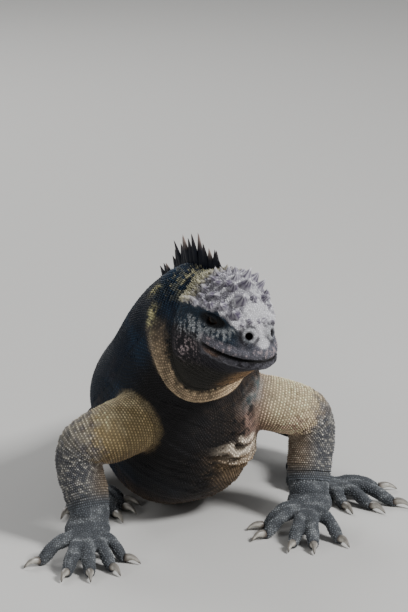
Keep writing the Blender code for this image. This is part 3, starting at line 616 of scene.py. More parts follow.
def buildHand(name):
    limb, turn, side, palm, claw, digits = hands[name]
    rows = np.asarray(limbs[limb], float)
    length, half, thick, height, slope = palm
    joint, before = rows[-1], rows[-2]
    ahead = heading(turn, 0.0)
    across = side * np.array([-ahead[1], ahead[0], 0.0])
    downWay = unit(joint[:3] - before[:3])
    heart = joint[:3] + 0.5 * length * ahead
    heart[2] = height
    start, radius = joint[:3], joint[3]
    line = [start - 3.0 * downWay, start, start + 2.0 * downWay,
            0.5 * (start + heart) + downWay, heart - 0.2 * length * ahead]
    parts = [closedPiece(name, tubeRings(
        line, (radius - 1.5, radius - 0.2, radius, radius * 0.94, radius * 0.72),
        detail["wrist"]))]
    tilted = heading(turn, -slope)
    rise = np.cross(tilted, across)
    rise = rise * np.sign(rise[2])
    parts.append(closedPiece("palm", *ballRings(
        heart, (length * 0.85, half, thick), (tilted, across, rise))))
    nails, lines = [], [np.array(line)]
    for spread, reach, thickness in digits:
        angle = math.radians(spread)
        way = math.cos(angle) * tilted + math.sin(angle) * across
        flat = unit(way * (1.0, 1.0, 0.0))
        knuckle = heart + way * 0.9 * half + 0.30 * length * tilted + 0.25 * thick * rise
        root = knuckle - 0.55 * half * way - 1.0 * rise
        tip = knuckle + flat * reach
        tip[2] = thickness - 1.0
        arch = 0.5 * (knuckle + tip) + np.array([0.0, 0.0, 0.10 * reach])
        key = np.column_stack((np.arange(5), [root, knuckle, arch, tip - 3.0 * flat, tip],
                               (thickness, thickness + 0.4, thickness + 0.2, thickness - 0.4,
                                thickness - 0.8)))
        count = detail["digitRings"]
        fine = interpolate(key, np.linspace(0.0, 4.0, count), False)
        joints = 0.35 * np.sin(np.linspace(0.0, 1.0, count) * 6.28 * 3.5)     # swollen joints
        parts.append(closedPiece("digit", tubeRings(
            fine[:, :3], fine[:, 3] + joints, detail["digit"])))
        nails.append((tip, flat, claw))
        lines.append(fine[:, :3])
    hand = parts[0]
    for part in parts[1:]:
        combine(hand, [part], "UNION")
    modifier = hand.modifiers.new("grain", "REMESH")
    modifier.mode, modifier.voxel_size = "VOXEL", handGrain
    settle(hand)
    relax(hand.data, np.full(len(hand.data.vertices), 0.5), 5)
    return hand, nails, lines


print("stage: hands and feet")
handPieces, clawPlaces, handLines = {}, {}, {}
for name in hands:
    handPieces[name], clawPlaces[name], handLines[name] = buildHand(name)
    print(name, len(handPieces[name].data.polygons))

print("stage: skin")
skin = buildSkin()
print("skin faces", len(skin.data.polygons))
# The skin is smoothed where the limbs and the throat join it.
points = readPoints(skin.data)
weight = np.zeros(len(points))
for rows in limbs.values():
    inner, root = np.asarray(rows, float)[1:3, :3]
    middle = 0.45 * root + 0.55 * inner
    weight = np.maximum(weight, fade(norm(points - middle), *joins["limbReach"]))
away = points - headOrigin
throatBend = bump(away @ headForward, 2, 9) * smooth(-(away @ headUp), 20, 34)
throatBend = throatBend * fade(norm(away), *joins["throatReach"])
for share, (strength, rounds) in ((weight, joins["limb"]), (throatBend, joins["throat"])):
    relax(skin.data, strength * share, rounds)
writePoints(skin.data, shapeOpenings(readPoints(skin.data)))


crest = {  # distance along the back and blade height there; on the head, forward and height
    "heights": ((0, 18), (8, 21), (17, 22.5), (24, 19.5), (31, 18), (35, 14),
                (38, 6), (42, 4.5), (46, 11), (53, 13.5), (60, 9.5), (72, 7.5),
                (250, 6.5), (330, 7.5), (450, 6.5), (600, 4.5), (700, 2.5), (760, 1)),
    "spacing": ((0, 3.3), (44, 3.6), (300, 4.4), (760, 3.2)),
    "headHeights": ((0, 14), (3, 16), (6, 8), (11, 5)),
    "headPlaces": (1, 4.2, 7.6), "headGap": 2.2,
    "thick": 1.25, "overlap": 2.5,     # blade length as a share of the gap
    "levels": (-0.16, 0.06, 0.28, 0.48, 0.66, 0.82, 0.93),
    "widths": (1, 1, 0.97, 0.84, 0.56, 0.30, 0.14),
}


# Blade: a lens-shaped section that keeps its width to half way, then narrows to a point that
# bends back; built as many blades at once from their roots, frames, heights and lengths.
def bladeSet(root, up, back, left, height, length, thick):
    levels, wide = np.array(crest["levels"]), np.array(crest["widths"])
    turn = evenTurns(detail["blade"])
    lens = np.stack((np.cos(turn), np.sign(np.sin(turn)) * abs(np.sin(turn)) ** 1.3), axis=-1)
    rise = levels[None, :, None] * height[:, None, None]
    bend = 0.13 * limit(levels)[None, :, None] ** 2 * height[:, None, None]
    long = 0.5 * length[:, None, None] * wide[None, :, None] * lens[None, None, :, 0]
    thin = thick[:, None, None] * (wide[None, :, None] ** 0.7) * lens[None, None, :, 1]
    ring = (root[:, None, None] + rise[..., None] * up[:, None, None]
            + (bend + long)[..., None] * back[:, None, None]
            + thin[..., None] * left[:, None, None])
    tip = root + height[:, None] * up + 0.15 * height[:, None] * back
    return ring, tip


def manyRings(ring, tip):  # joins many small ringed shapes, a flat root and a pointed end each
    number, levels, around = ring.shape[:3]
    points = np.concatenate((ring.reshape(number, -1, 3), tip[:, None]), axis=1)
    size = levels * around + 1
    quads = bandFaces(levels, around)
    j = np.arange(around)
    fan = np.stack((size - 1 - around + j, size - 1 - around + (j + 1) % around,
                    np.full(around, size - 1)), axis=-1)
    base = np.arange(around)[::-1][None, :]
    shift = (np.arange(number) * size)[:, None, None]
    faces = [(part[None] + shift).reshape(-1, part.shape[1]) for part in (quads, fan, base)]
    return points.reshape(-1, 3), faces, size


def addNode(tree, kind, settings=(), links=()):  # one node, its settings and its links
    node = tree.nodes.new(kind)
    for key, value in dict(settings).items():
        if key in node.inputs:
            node.inputs[key].default_value = value
        else:
            setattr(node, key, value)
    for socket, source in dict(links).items():
        tree.links.new(source, node.inputs[socket])
    return node


patchRadius = 0.0015     # in the unit square of the bake


# Small patches for the bake: each shape's rings shrink towards its tip round its root's place.
def rootPatches(root, levels, around):
    turn = evenTurns(around)
    circle = np.stack((np.cos(turn), np.sin(turn)), axis=-1)
    shrink = patchRadius * (1.0 - np.asarray(levels, float))
    patch = np.concatenate(((shrink[:, None, None] * circle).reshape(-1, 2), [[0.0, 0.0]]))
    return (root[:, None] + patch[None]).reshape(-1, 2)


def crestPlaces():
    places = [1.6]
    while places[-1] < trunkLength - 14.0:
        places.append(places[-1] + float(np.interp(places[-1], *zip(*crest["spacing"]))))
    return np.array(places)


def buildCrest():
    chance = np.random.default_rng(3)
    places = crestPlaces()
    forward, left, up = trunkFrame(places)
    height = interpolate(crest["heights"], places)[:, 0] * chance.uniform(0.76, 1.12, len(places))
    ahead = np.array(crest["headPlaces"])
    same = np.ones((len(ahead), 1))
    root, up, back, left, height, gap = (np.concatenate(pair) for pair in (
        (headSurface(ahead, quarterTurn * same[:, 0]),
         trunkSurface(places, np.full(len(places), quarterTurn))),
        (same * headUp, up), (same * -headForward, -forward), (same * headLeft, left),
        (interpolate(crest["headHeights"], ahead)[:, 0], height),
        (crest["headGap"] * same[:, 0], np.gradient(places))))
    left = unit(left + chance.normal(0.0, 0.05, left.shape))
    tilt = chance.normal(0.0, 0.055, (len(up), 1))
    up = unit(up + tilt * back + 0.05 * chance.normal(size=(len(up), 1)) * left)
    thick = np.clip(crest["thick"] * height / 12.0, 0.45, crest["thick"] * 1.15)
    ring, tip = bladeSet(root, up, back, left, height, gap * crest["overlap"], thick)
    points, faces, size = manyRings(ring, tip)
    shares = np.append(np.repeat(limit(crest["levels"]), detail["blade"]), 1.0)
    pale = (chance.uniform(0.0, 1.0, len(tip)) < 0.3) * chance.uniform(0.5, 1.0, len(tip)) + 0.12
    place = np.concatenate((0.1 * ahead / 66.0, places / trunkLength))
    row = np.concatenate((np.full(len(ahead), 0.9), np.full(len(places), 0.25)))
    patches = rootPatches(np.stack((place, row), axis=-1), limit(crest["levels"]),
                          detail["blade"])
    return points, faces, np.tile(shares, len(tip)), np.repeat(pale, size), patches


print("stage: crest")
crestPoints, crestFaces, crestLevel, crestPaleness, crestPatches = buildCrest()
crestPiece = outward(addPiece("crest", crestPoints, crestFaces, None, crestPatches))


claws = {"radius": 2.9, "taper": 0.86, "arch": 1.6, "rings": 13, "around": 20}


def buildClaws():  # curved cones from a flat root, bent down to just above the floor
    rings, tips = [], []
    for places in clawPlaces.values():
        for tip, flat, length in places:
            base = tip + 0.3 * flat
            steps = np.linspace(0.0, 1.0, claws["rings"])
            fall = base[2] - 0.6
            centres = base + flat * length * steps[:, None]
            centres[:, 2] += claws["arch"] * np.sin(math.pi * steps) - fall * steps ** 2.2
            radii = claws["radius"] * (1.0 - claws["taper"] * steps ** 1.2)
            radii[0] *= 0.93
            rings.append(tubeRings(centres[:-1], radii[:-1], claws["around"], flat))
            tips.append(centres[-1])
    return manyRings(np.array(rings), np.array(tips))


print("stage: claws")
clawPoints, clawFaces, clawSize = buildClaws()
clawsPiece = outward(addPiece("claws", clawPoints, clawFaces))


eyes = {"forward": 0.28, "pupil": (17.0, 21.0), "iris": (36.0, 15.0)}     # degrees from the pole


# Eyes: smooth balls in the sockets, their poles on the line of sight.
def buildEyes():
    allPoints, allFaces, shades, start = [], [], [], 0
    for side in (-1, 1):
        centre = onSide(head["eye"], side)
        sight = unit(side * headLeft + eyes["forward"] * headForward)
        across = unit(np.cross(headUp, sight))
        rise = np.cross(sight, across)
        points, faces = closedRings(*ballRings(centre, (head["eyeRadius"],) * 3,
                                               (across, rise, sight), detail["eye"]))
        angle = np.degrees(np.arccos(np.clip(unit(points - centre) @ sight, -1.0, 1.0)))
        allPoints.append(points)
        allFaces += [part + start for part in faces]
        shades.append(angle)
        start += len(points)
    return np.concatenate(allPoints), allFaces, np.concatenate(shades)


print("stage: eyes")
eyePoints, eyeFaces, eyeAngle = buildEyes()
eyesPiece = outward(addPiece("eyes", eyePoints, eyeFaces))

for piece in (skin, crestPiece, clawsPiece, eyesPiece):
    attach(piece, "root")
flesh = [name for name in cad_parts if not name.startswith(("claw", "eye"))]
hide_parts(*flesh)
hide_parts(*[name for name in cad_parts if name.startswith("claw")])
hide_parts("eye_left", "eye_right")


hide = {  # colours of the living skin and its scales, some of them also used as painted shade, highlight and sheen
    "backDark": "#0b1624", "backBlueAndSheen": "#1a344c", "flank": "#0c1a2a", "chest": "#171618",
    "chestBrown": "#4a3d33", "belly": "#a58b6c", "foldPale": "#efdfc9", "throat": "#25231f",
    "gular": "#c2aa8a", "throatTan": "#a5835f", "patch": "#c4bd8a", "tailTone": "#212228",
    "armGold": "#a8946c", "armPaleAndHighlight": "#dccda6", "armShade": "#4d4450", "forearm": "#55565a",
    "forearmPale": "#b3afa6", "forearmInner": "#8d7a62", "armLeft": "#cdbb9a",
    "armBrownAndUnderShade": "#6b563c", "armPink": "#b39384",
    "shoulderGreen": "#6f8083", "hand": "#55595e", "handPale": "#8b8f92", "legTone": "#3f3c3e",
    "legPink": "#94806f", "headPale": "#cdccd0", "headDarkAndHollowShade": "#474051", "face": "#25394a",
    "darkLidAndPitShade": "#0a0b0f", "granule": "#b4b8bb", "lip": "#66656d", "lipEdge": "#8a6a4e",
    "lipDark": "#2c2b31", "mouth": "#070606", "cheek": "#201e24", "cheekPink": "#b9a8a9",
    "spiky": "#a5a07f", "crestDark": "#0a0f1a", "crestPale": "#8f7f78", "hornRoot": "#5a5049",
    "hornPale": "#b1ada4", "hornTip": "#4b4641", "iris": "#2a1b10", "pupil": "#030303",
}


def linear(code):  # sRGB hex to linear colour
    value = np.array([int(code[k:k + 2], 16) for k in (1, 3, 5)]) / 255.0
    return np.where(value <= 0.04045, value / 12.92, ((value + 0.055) / 1.055) ** 2.4)


tone = {name: linear(code) for name, code in hide.items()}


def mix(base, name, share):
    return base + np.asarray(share)[:, None] * (tone[name] - base)


def layered(first, count, layers):  # a first tone with each further tone mixed over by its share
    colour = np.tile(tone[first], (count, 1))
    for name, share in layers:
        colour = mix(colour, name, share)
    return colour


def trunkHide(points, place, turn):
    up = np.sin(turn)
    x, y, z = points.T
    big, small, tiny = mottle(points, 34, 1), mottle(points, 9, 2), mottle(points, 4, 7)
    rust = smooth(mottle(points, 26, 19) + 0.4 * small, 0.5, 1.3) * smooth(place, 50, 90)
    chest = smooth(-up, 0, 0.4) * fade(place, 90, 160)
    brown = smooth(x + 0.25 * (60.0 - z) + 7.0 * small, -18, 28) * (0.36 + 0.30 * tiny)
    tan = smooth(x + 4.0 * small, -2, 27) * smooth(66.0 - z + 4.0 * small, 0, 24)
    under = smooth(-up + 0.15 * small, 0.45, 0.9) * smooth(place, 110, 190)
    away, reach = armpitReach(points)
    folds = sum(bump(reach + 0.8, ring, 1.9) for ring in trunk["crescents"][:2])
    folds = folds + 0.35 * bump(reach, trunk["crescents"][2], 1.8)
    folds = folds * smooth(-away[:, 2] / reach, 0.30, 0.70) * smooth(-up, 0, 0.4) * (y < 90.0)
    near = norm(points - np.array(trunk["shoulder"])) + 5.0 * small
    near = fade(near, 10, 30) * smooth(x, 8, 30)
    throat = smooth(-up, -0.2, 0.3) * fade(place, 19, 27)
    along = place + 1.6 * tiny
    band = smooth(-up, -0.20, 0.25) * smooth(along, 3, 8.5) * fade(along, 20, 26.5)
    band = band * (0.60 + 0.40 * smooth(x, -26, 16))
    patch = bump(np.degrees(turn), 169, 9) * bump(place, 17.5, 3.6)
    patch = patch + bump(np.degrees(turn), 139, 5) * bump(place, 22, 4.5)
    crown = smooth(up, 0.30, 0.80) * fade(place + 5.0 * small, 3, 17)
    return layered("flank", len(points), (
        ("backDark", smooth(up, -0.1, 0.6)),
        # blue patches, stronger on the upward faces: the back's bluish tone together with a painted
        # blue sheen
        ("backBlueAndSheen", smooth(big + 0.6 * up + 0.4 * small, 0.1, 1.3) * 0.7),
        ("chestBrown", rust * 0.25), ("chest", chest), ("chestBrown", chest * brown),
        ("belly", limit(tan * chest * (0.85 + 0.25 * tiny))), ("belly", under * 0.7),
        ("foldPale", limit(1.9 * folds)),
        ("armPink", near * smooth(small + 0.6 * tiny, -0.9, 0.7) * 0.75),
        ("shoulderGreen", near * smooth(z + 6.0 * small, 82, 98) * 0.7),
        ("throat", throat), ("throatTan", throat * smooth(x, 6, 22) * (0.6 + 0.4 * small)),
        ("gular", limit(1.15 * band * (0.85 + 0.3 * tiny))),
        ("patch", limit(1.5 * patch * smooth(tiny, -0.7, 0.3))),
        ("spiky", 0.8 * crown * smooth(small + 1.5 * tiny, -0.6, 0.9)),
        ("tailTone", smooth(place, 280, 400) * 0.7)))


def headParts(points):  # forward, side and height on the head, and height over the mouth line
    away = points - headOrigin
    ahead, side, level = away @ headForward, away @ headLeft, away @ headUp
    return ahead, side, level, level - interpolate(head["rows"], ahead)[:, 3]


def slitOval(ahead, level):  # 1 on the edge of the eye's opening
    eye, slit = head["eye"], head["slit"]
    return np.hypot((ahead - eye[0]) / slit[0], (level - eye[2]) / slit[1])


def crownShare(points):  # 1 over the brow line, 0 below it
    ahead, _, level, _ = headParts(points)
    line = interpolate(head["saltLine"], ahead)[:, 0]
    return smooth(level - line + 0.6 * mottle(points, 5, 14), -0.4, 1.2)


def nostrilReach(points):  # distance from the nearer nostril's axis, and place along it
    ahead, side, level, _ = headParts(points)
    hole = np.stack((ahead, abs(side), level), axis=-1) - np.array(head["nostril"])
    out = unit(np.array(head["nostrilWay"]))
    return norm(hole - (hole @ out)[:, None] * out), hole @ out


def headHide(points):
    ahead, side, level, low = headParts(points)
    small, tiny = mottle(points, 5, 3), mottle(points, 2.6, 15)
    eye, nostril = head["eye"], head["nostril"]
    chin = smooth(-low, 10, 16) * smooth(side, -13, 6) * smooth(ahead, 10, 24)
    oval = slitOval(ahead, level)
    near = np.hypot(ahead - eye[0], (level - eye[2]) * 1.2)
    below = bump(near, 14, 4.5) * smooth(eye[2] - level, 2, 7)
    behind = bump(ahead, 12, 9) * bump(low, 6, 5)
    jowl = bump(low, -7, 8) * bump(ahead, 17, 9)
    snout = smooth(ahead, 50, 58) * smooth(low, 4, 9)
    mouthPart = smooth(ahead, 25, 33)
    upper = smooth(low, 0.2, 1.2) * fade(low, 6, 8.5) * mouthPart
    lower = smooth(-low, 0.2, 1.2) * fade(-low, 6, 8) * mouthPart
    lid = bump(oval, 2.7, 0.6) * smooth(eye[2] - level, 0.3, 2.4)
    crown = crownShare(points)
    patchy = smooth(small + 0.6 * tiny + 0.06 * (ahead - 40.0), -0.9, 0.8)
    apart, depth = nostrilReach(points)
    apart = apart - head["nostrilRadius"]
    halo = bump(apart, 3.4, 1.5) * bump(depth, 0, 6) * limit(
        0.35 + smooth(nostril[0] + 1.0 - ahead + 0.8 * tiny, 0, 3)
        + smooth(nostril[2] + 0.5 - level, 0, 2.5))
    return layered("cheek", len(points), (
        ("face", smooth(low, 3, 8) * (0.75 + 0.25 * small)),
        ("throat", smooth(-low, 12, 20)),
        ("throatTan", limit(chin * (0.75 + 0.4 * small))),
        ("granule", limit(below + 0.7 * behind) * smooth(tiny + 0.5 * small, -0.1, 0.6)),
        ("cheekPink", smooth(tiny + 0.4 * small, 0.1, 0.7) * 0.8 * jowl),
        ("lip", limit(snout * (0.75 + 0.3 * small))),
        ("lip", limit(upper * (0.85 + 0.3 * tiny))),
        ("lip", limit(lower * (0.55 + 0.45 * small + 0.2 * tiny))),
        ("cheekPink", upper * smooth(small + tiny, 0.5, 1.2) * 0.5),
        ("lipEdge", bump(low, -2.2, 1.3) * bump(ahead, 38, 6) * 0.6),
        ("lipDark", bump(-low, 8.4, 1.6) * mouthPart * 0.8),
        # a near-black line along the closed mouth, painted shade in the crease between the lips
        ("mouth", limit(1.4 * bump(low, 0, 1.2)) * smooth(ahead, 28, 32)),
        # near-black in and round the eye's opening: dark lid skin, with painted shade of the eye
        # pit under the brow
        ("darkLidAndPitShade", fade(oval, 1.25, 2.3)),
        ("granule", lid * smooth(tiny, -0.9, 0.3) * 0.95),
        ("headDarkAndHollowShade", crown), ("headPale", crown * (0.30 + 0.70 * patchy)),
        ("lipDark", np.clip(1.1 * halo, 0.0, 0.9) * smooth(tiny + small, -1.6, 0)),
        ("handPale", bump(apart, 1.1, 0.9) * bump(depth, 0, 5) * 0.9),
        ("spiky", crown * fade(ahead + 2.0 * small, 5, 15) * 0.8)))


def limbHide(name, points, at):
    small, big, tiny = mottle(points, 6, 4), mottle(points, 22, 5), mottle(points, 3, 8)
    x, y, z = points.T
    if name == "armRight":
        outer = smooth(-x + 5.0 * small + 0.2 * (80.0 - z), 66, 82)
        colour = layered("armGold", len(points), (
            # pale patches, paler towards the top of the upper arm: pale scales, with a painted
            # highlight on top
            ("armPaleAndHighlight", smooth(small + 0.07 * (z - 80.0) - 0.04 * (x + 60.0), -0.2, 1.5) * 0.8),
            # brown towards the underside, painted shade under the arm
            ("armBrownAndUnderShade", smooth(73.0 - z + 4.0 * small, 0, 13) * 0.7),
            ("forearmPale", outer * 0.7),
            # dark mottling on the outer side, painted shade on that side
            ("armShade", outer * smooth(small - 0.5 * tiny, -0.2, 0.9) * 0.7),
            ("armBrownAndUnderShade", smooth(tiny + 0.5 * small, 0.5, 1.1) * 0.55),
            ("backDark", smooth(y + 6.0 * small + 4.0 * big, 29, 46) * 0.9)))
    elif name == "armLeft":
        green = smooth(46.0 - x + 8.0 * big, -6, 14) * smooth(z, 78, 92)
        lowerSide = smooth(84.0 - z + 4.0 * small, 0, 14)
        colour = layered("armLeft", len(points), (
            # pale patches, paler higher up: pale scales, with a painted highlight on top
            ("armPaleAndHighlight", smooth(small + 0.03 * (z - 80.0), -0.6, 0.9)),
            ("shoulderGreen", green * (0.55 + 0.3 * tiny)),
            ("armPink", lowerSide * smooth(small + 0.6 * tiny, -0.6, 0.7) * 0.8),
            # brown on the lower inner side, painted shade under the arm; the brown flecks further
            # on are the arm's own
            ("armBrownAndUnderShade", lowerSide * smooth(56.0 - x, 0, 16) * 0.7),
            ("armPink", smooth(50.0 - x + 5.0 * small, 0, 12) * 0.6),
            ("armBrownAndUnderShade", smooth(tiny + 0.6 * small, 0.4, 1.1) * 0.5),
            ("armShade", smooth(x + 6.0 * small, 70, 88) * 0.7),
            ("backDark", smooth(y + 6.0 * small + 4.0 * big, 70, 88) * 0.85)))
    else:
        colour = layered("legTone", len(points), (
            ("legPink", smooth(0.7 * small + big, 0.2, 1.7) * 0.6),
            ("flank", fade(at + 0.3 * small, 1.3, 2.6) * 0.85)))
    if "arm" in name:
        inner = smooth(x * (1 if "Right" in name else -1), -80, -66)
        fore = layered("forearm", len(points), (
            ("forearmPale", smooth(0.5 * small + tiny, -0.4, 1.6)), ("forearmInner", inner * 0.65)))
        colour = colour + smooth(at + 0.22 * small, 2.55, 3.4)[:, None] * (fore - colour)
    return mix(colour, "hand", smooth(at, 5, 5.9))


def handHide(points):
    small, tiny = mottle(points, 7, 6), mottle(points, 2.4, 16)
    return layered("hand", len(points), (
        ("handPale", smooth(small + 0.5 * tiny, -0.3, 1.4) * 0.85),))


skinTree = BVHTree.FromPolygons(readPoints(skin.data).tolist(), triangles(skin.data).tolist())


def snap(points, deep=2.6, far=6.0):  # nearest skin place and its normal, and which to keep
    spots, normals, keep = points.copy(), np.zeros_like(points), np.zeros(len(points), bool)
    for k, point in enumerate(points.tolist()):
        place, normal, _, gap = skinTree.find_nearest(point, far)
        if place is None:
            continue
        spots[k], normals[k] = place, normal
        keep[k] = gap * (1 if (Vector(point) - place).dot(normal) > 0 else -1) > -deep
    return spots, normals, keep


def scaleField(surface, places, count, step):  # staggered rows over a surface, and their lie
    i, j = np.meshgrid(np.arange(len(places)), np.arange(count), indexing="ij")
    place = places[i].ravel()
    turn = (fullTurn * (j + 0.5 * (i % 2)) / count).ravel() % fullTurn     # odd rows half a step on
    points = surface(place, turn)
    lie = unit(surface(place + step, turn) - points)
    spots, normals, keep = snap(points)
    return kept(keep, place, turn, spots, normals, lie)


def scatter(piece, gap, share):  # irregular places no closer than gap, where the share is 1
    probe = addObject("probe", piece.data.copy())
    layer = probe.data.attributes.new("share", "FLOAT", "POINT")
    layer.data.foreach_set("value", share.astype(np.float32))
    group = bpy.data.node_groups.new("scatter", "GeometryNodeTree")
    for way in ("INPUT", "OUTPUT"):
        group.interface.new_socket("Geometry", in_out=way, socket_type="NodeSocketGeometry")
    enter, leave = group.nodes.new("NodeGroupInput"), group.nodes.new("NodeGroupOutput")
    named = addNode(group, "GeometryNodeInputNamedAttribute",
                    {"data_type": "FLOAT", "Name": "share"})
    spread = addNode(group, "GeometryNodeDistributePointsOnFaces",
                     {"distribute_method": "POISSON", "Distance Min": 0.001 * gap,
                      "Density Max": 2.4e6 / gap ** 2, "Seed": 7},     # enough to fill the gaps
                     {"Mesh": enter.outputs[0], "Density Factor": named.outputs["Attribute"]})
    stored = addNode(group, "GeometryNodeStoreNamedAttribute",
                     {"data_type": "FLOAT_VECTOR", "domain": "POINT", "Name": "facing"},
                     {"Geometry": spread.outputs["Points"], "Value": spread.outputs["Normal"]})
    corners = addNode(group, "GeometryNodePointsToVertices", (),
                      {"Points": stored.outputs["Geometry"]})
    group.links.new(corners.outputs[0], leave.inputs[0])
    probe.modifiers.new("scatter", "NODES").node_group = group
    settle(probe)
    spots = readPoints(probe.data)
    normals = np.empty(3 * len(spots), np.float32)
    probe.data.attributes["facing"].data.foreach_get("vector", normals)
    bpy.data.objects.remove(probe)
    bpy.data.node_groups.remove(group)
    return spots, unit(normals.reshape(-1, 3).astype(float))


# Scale: a six-sided root sunk in the skin and a point raised by its height and drawn back.
def scaleSet(spots, normals, lie, length, width, height, lean, seed):
    chance = np.random.default_rng(seed)
    lie = unit(lie - (lie * normals).sum(axis=1)[:, None] * normals)
    across = np.cross(normals, lie)
    turn = evenTurns(6)
    size = chance.uniform(0.86, 1.08, len(spots))[:, None, None]
    length, width, lean = (np.broadcast_to(v, (len(spots),)) for v in (length, width, lean))
    ring = spots[:, None] - 0.25 * normals[:, None] + size * (
        0.5 * np.cos(turn)[None, :, None] * (length[:, None] * lie)[:, None]
        + 0.5 * np.sin(turn)[None, :, None] * (width[:, None] * across)[:, None])
    tip = spots + (height * chance.uniform(0.7, 1.15, len(spots)))[:, None] * normals + (
        (lean * length)[:, None] * lie)
    tip += chance.normal(0.0, 0.06, tip.shape)
    return ring[:, None], tip


scales = {
    "bands": (  # along the trunk: from, to, row spacing, scales round, height, name of the piece
        (1, 46, 1.95, 150, 0.55, "neckScales"), (46, 130, 1.75, 196, 0.55, "chestScales"),
        (130, 220, 2.2, 138, 0.75, "bodyScales"), (220, 300, 2.4, 90, 0.75, "bodyScales"),
        (300, 400, 2.6, 56, 0.75, "tailScales"), (400, 520, 2.6, 42, 0.7, "tailScales"),
        (520, trunkLength - 12, 2.5, 24, 0.55, "tailScales")),
    "faceGap": 1.12, "handGap": 1.3, "limbGap": 1.65, "limbAround": 58,
    "meltReach": 2.6, "skinPaintedShade": 0.42, "facePaintedShade": 0.6,     # skin's shade of its scales: darker than them, as painted shade in the gaps
    "coats": {  # slot, brightness of root and tip, and how much the brightness varies; the darker root is painted shade between the scales, the brighter tip a painted highlight
        "neckScales": ("neck_skin", 0.34, 1.4, 0.18), "chestScales": ("body_skin", 0.78, 1.1, 0.18),
        "bodyScales": ("body_skin", 0.6, 1.25, 0.18), "tailScales": ("tail_skin", 0.6, 1.25, 0.18),
        "faceScales": ("head_scutes", 0.74, 1.1, 0.18), "armScales": ("arm_skin", 0.30, 1.55, 0.30),
        "legScales": ("leg_skin", 0.30, 1.55, 0.18), "handScales": ("hand_skin", 0.6, 1.2, 0.18),
        "footScales": ("hand_skin", 0.6, 1.2, 0.18)},
}
coats = {}     # for each coat, fields of scales: rings, tips, roots, colours, unwrap and melt


def lay(name, shapes, spots, colour, unwrap, melt=None):
    melt = np.zeros(len(spots)) if melt is None else melt
    coats.setdefault(name, []).append((*shapes, spots, colour, unwrap, melt))


def limbMelt(spots):  # 1 beside a limb's root, 0 away from it
    nearest = np.full(len(spots), 1e9)
    for table in limbTables.values():
        for row in table[20:130:4]:
            nearest = np.minimum(nearest, norm(spots - row[1:4]) - row[10])
    return fade(nearest, 1, 7)


def trunkScales():
    for number, (start, end, spacing, count, height, name) in enumerate(scales["bands"]):
        places = np.arange(start, end, spacing * 0.9)
        place, turn, spots, normals, lie = scaleField(trunkSurface, places, count, 1.0)
        place, turn, spots, normals, lie = kept(
            spots[:, 2] > 0.7, place, turn, spots, normals, lie)
        crown = smooth(np.sin(turn), 0.2, 0.6) * fade(place, 12, 28)
        shapes = scaleSet(spots, normals, lie, spacing * (1.25 - 0.35 * crown),
                          spacing * (1.12 - 0.25 * crown), height + 1.3 * crown, 0.28, number)
        lay(name, shapes, spots, trunkHide(spots, place, turn),
            np.stack((place / trunkLength, turn / fullTurn), axis=-1), limbMelt(spots))


def headScales():
    points = readPoints(skin.data)
    ahead = headParts(points)[0]
    wanted = (ahead > -2.0) & (norm(points - headPlace(30.0, 0.0, 0.0)) < 75.0)
    spots, normals = scatter(skin, scales["faceGap"], wanted.astype(float))
    ahead, side, level, low = headParts(spots)
    eye = head["eye"]
    clear = (norm(spots - headOrigin) < 75.0) & (ahead > 0.6)
    clear &= (abs(low) >= 1.0) | (ahead <= head["mouthCorner"] - 5.0)
    socket = np.stack((ahead - eye[0], abs(side) - eye[1], level - eye[2]), axis=-1)
    clear &= (slitOval(ahead, level) > 1.12) & (norm(socket) > head["eyeRadius"] + 0.4)
    apart, depth = nostrilReach(spots)
    clear &= (apart >= head["nostrilRadius"] + 0.45) | (depth <= -6.0)
    for spot, radius in zip(coneSpots, coneRadii):
        clear &= norm(spots - spot) > 0.72 * radius
    spots, normals, ahead, side, level = kept(clear, spots, normals, ahead, side, level)
    crown = crownShare(spots) * fade(ahead, 50, 58)
    rear = fade(ahead, 6, 20)
    size = np.interp(ahead, (0.0, 40.0, 66.0), (1.85, 1.7, 1.5))
    tall = np.interp(ahead, (0.0, 40.0, 60.0), (0.5, 0.42, 0.28)) + crown * (0.2 + 1.7 * rear)
    lie = np.tile(-headForward, (len(spots), 1)) + 0.8 * crown[:, None] * headUp
    shapes = scaleSet(spots, normals, lie, size * 1.1, size, tall, 0.08 + 0.3 * crown * rear, 21)
    lay("faceScales", shapes, spots, headHide(spots),
        np.stack((ahead / 70.0, np.arctan2(level, side) / fullTurn + 0.5), axis=-1))


def limbScales():
    for number, name in enumerate(limbs):
        table = limbTables[name]
        run = runAlong(table[:, 1:4])
        places = np.interp(np.arange(4.0, run[-1] + 1.0, scales["limbGap"]), run, table[:, 0])
        place, turn, spots, normals, lie = scaleField(
            partial(limbSurface, name), places, scales["limbAround"], 0.02)
        wide = np.interp(place, (0.0, 2.5, 3.3, 6.0), (2.7, 2.7, 1.9, 1.8))
        number = number % 2     # the two sides share a map, one half each
        shapes = scaleSet(spots, normals, lie, 1.8, wide, 0.65, 0.24, 31 + number)
        lay(name[:3] + "Scales", shapes, spots, limbHide(name, spots, place),
            np.stack((0.5 * number + place / 12.5, turn / fullTurn), axis=-1),
            fade(place, 1.5, 2.2))


def handScales():  # irregular grains over the palm and digits
    for number, (name, piece) in enumerate(handPieces.items()):
        spots, normals = scatter(piece, scales["handGap"], np.ones(len(piece.data.vertices)))
        spots, normals = kept(spots[:, 2] > 0.6, spots, normals)
        limb, turn = hands[name][:2]
        joint = np.asarray(limbs[limb][-1][:3], float)
        lie = np.tile(heading(turn, 0.0), (len(spots), 1)) + 0.6 * unit(spots - joint)
        shapes = scaleSet(spots, normals, lie, 1.8, 1.65, 0.5, 0.2, 41 + number)
        lay(name[:4] + "Scales", shapes, spots, handHide(spots), handRoots(name, number, spots))


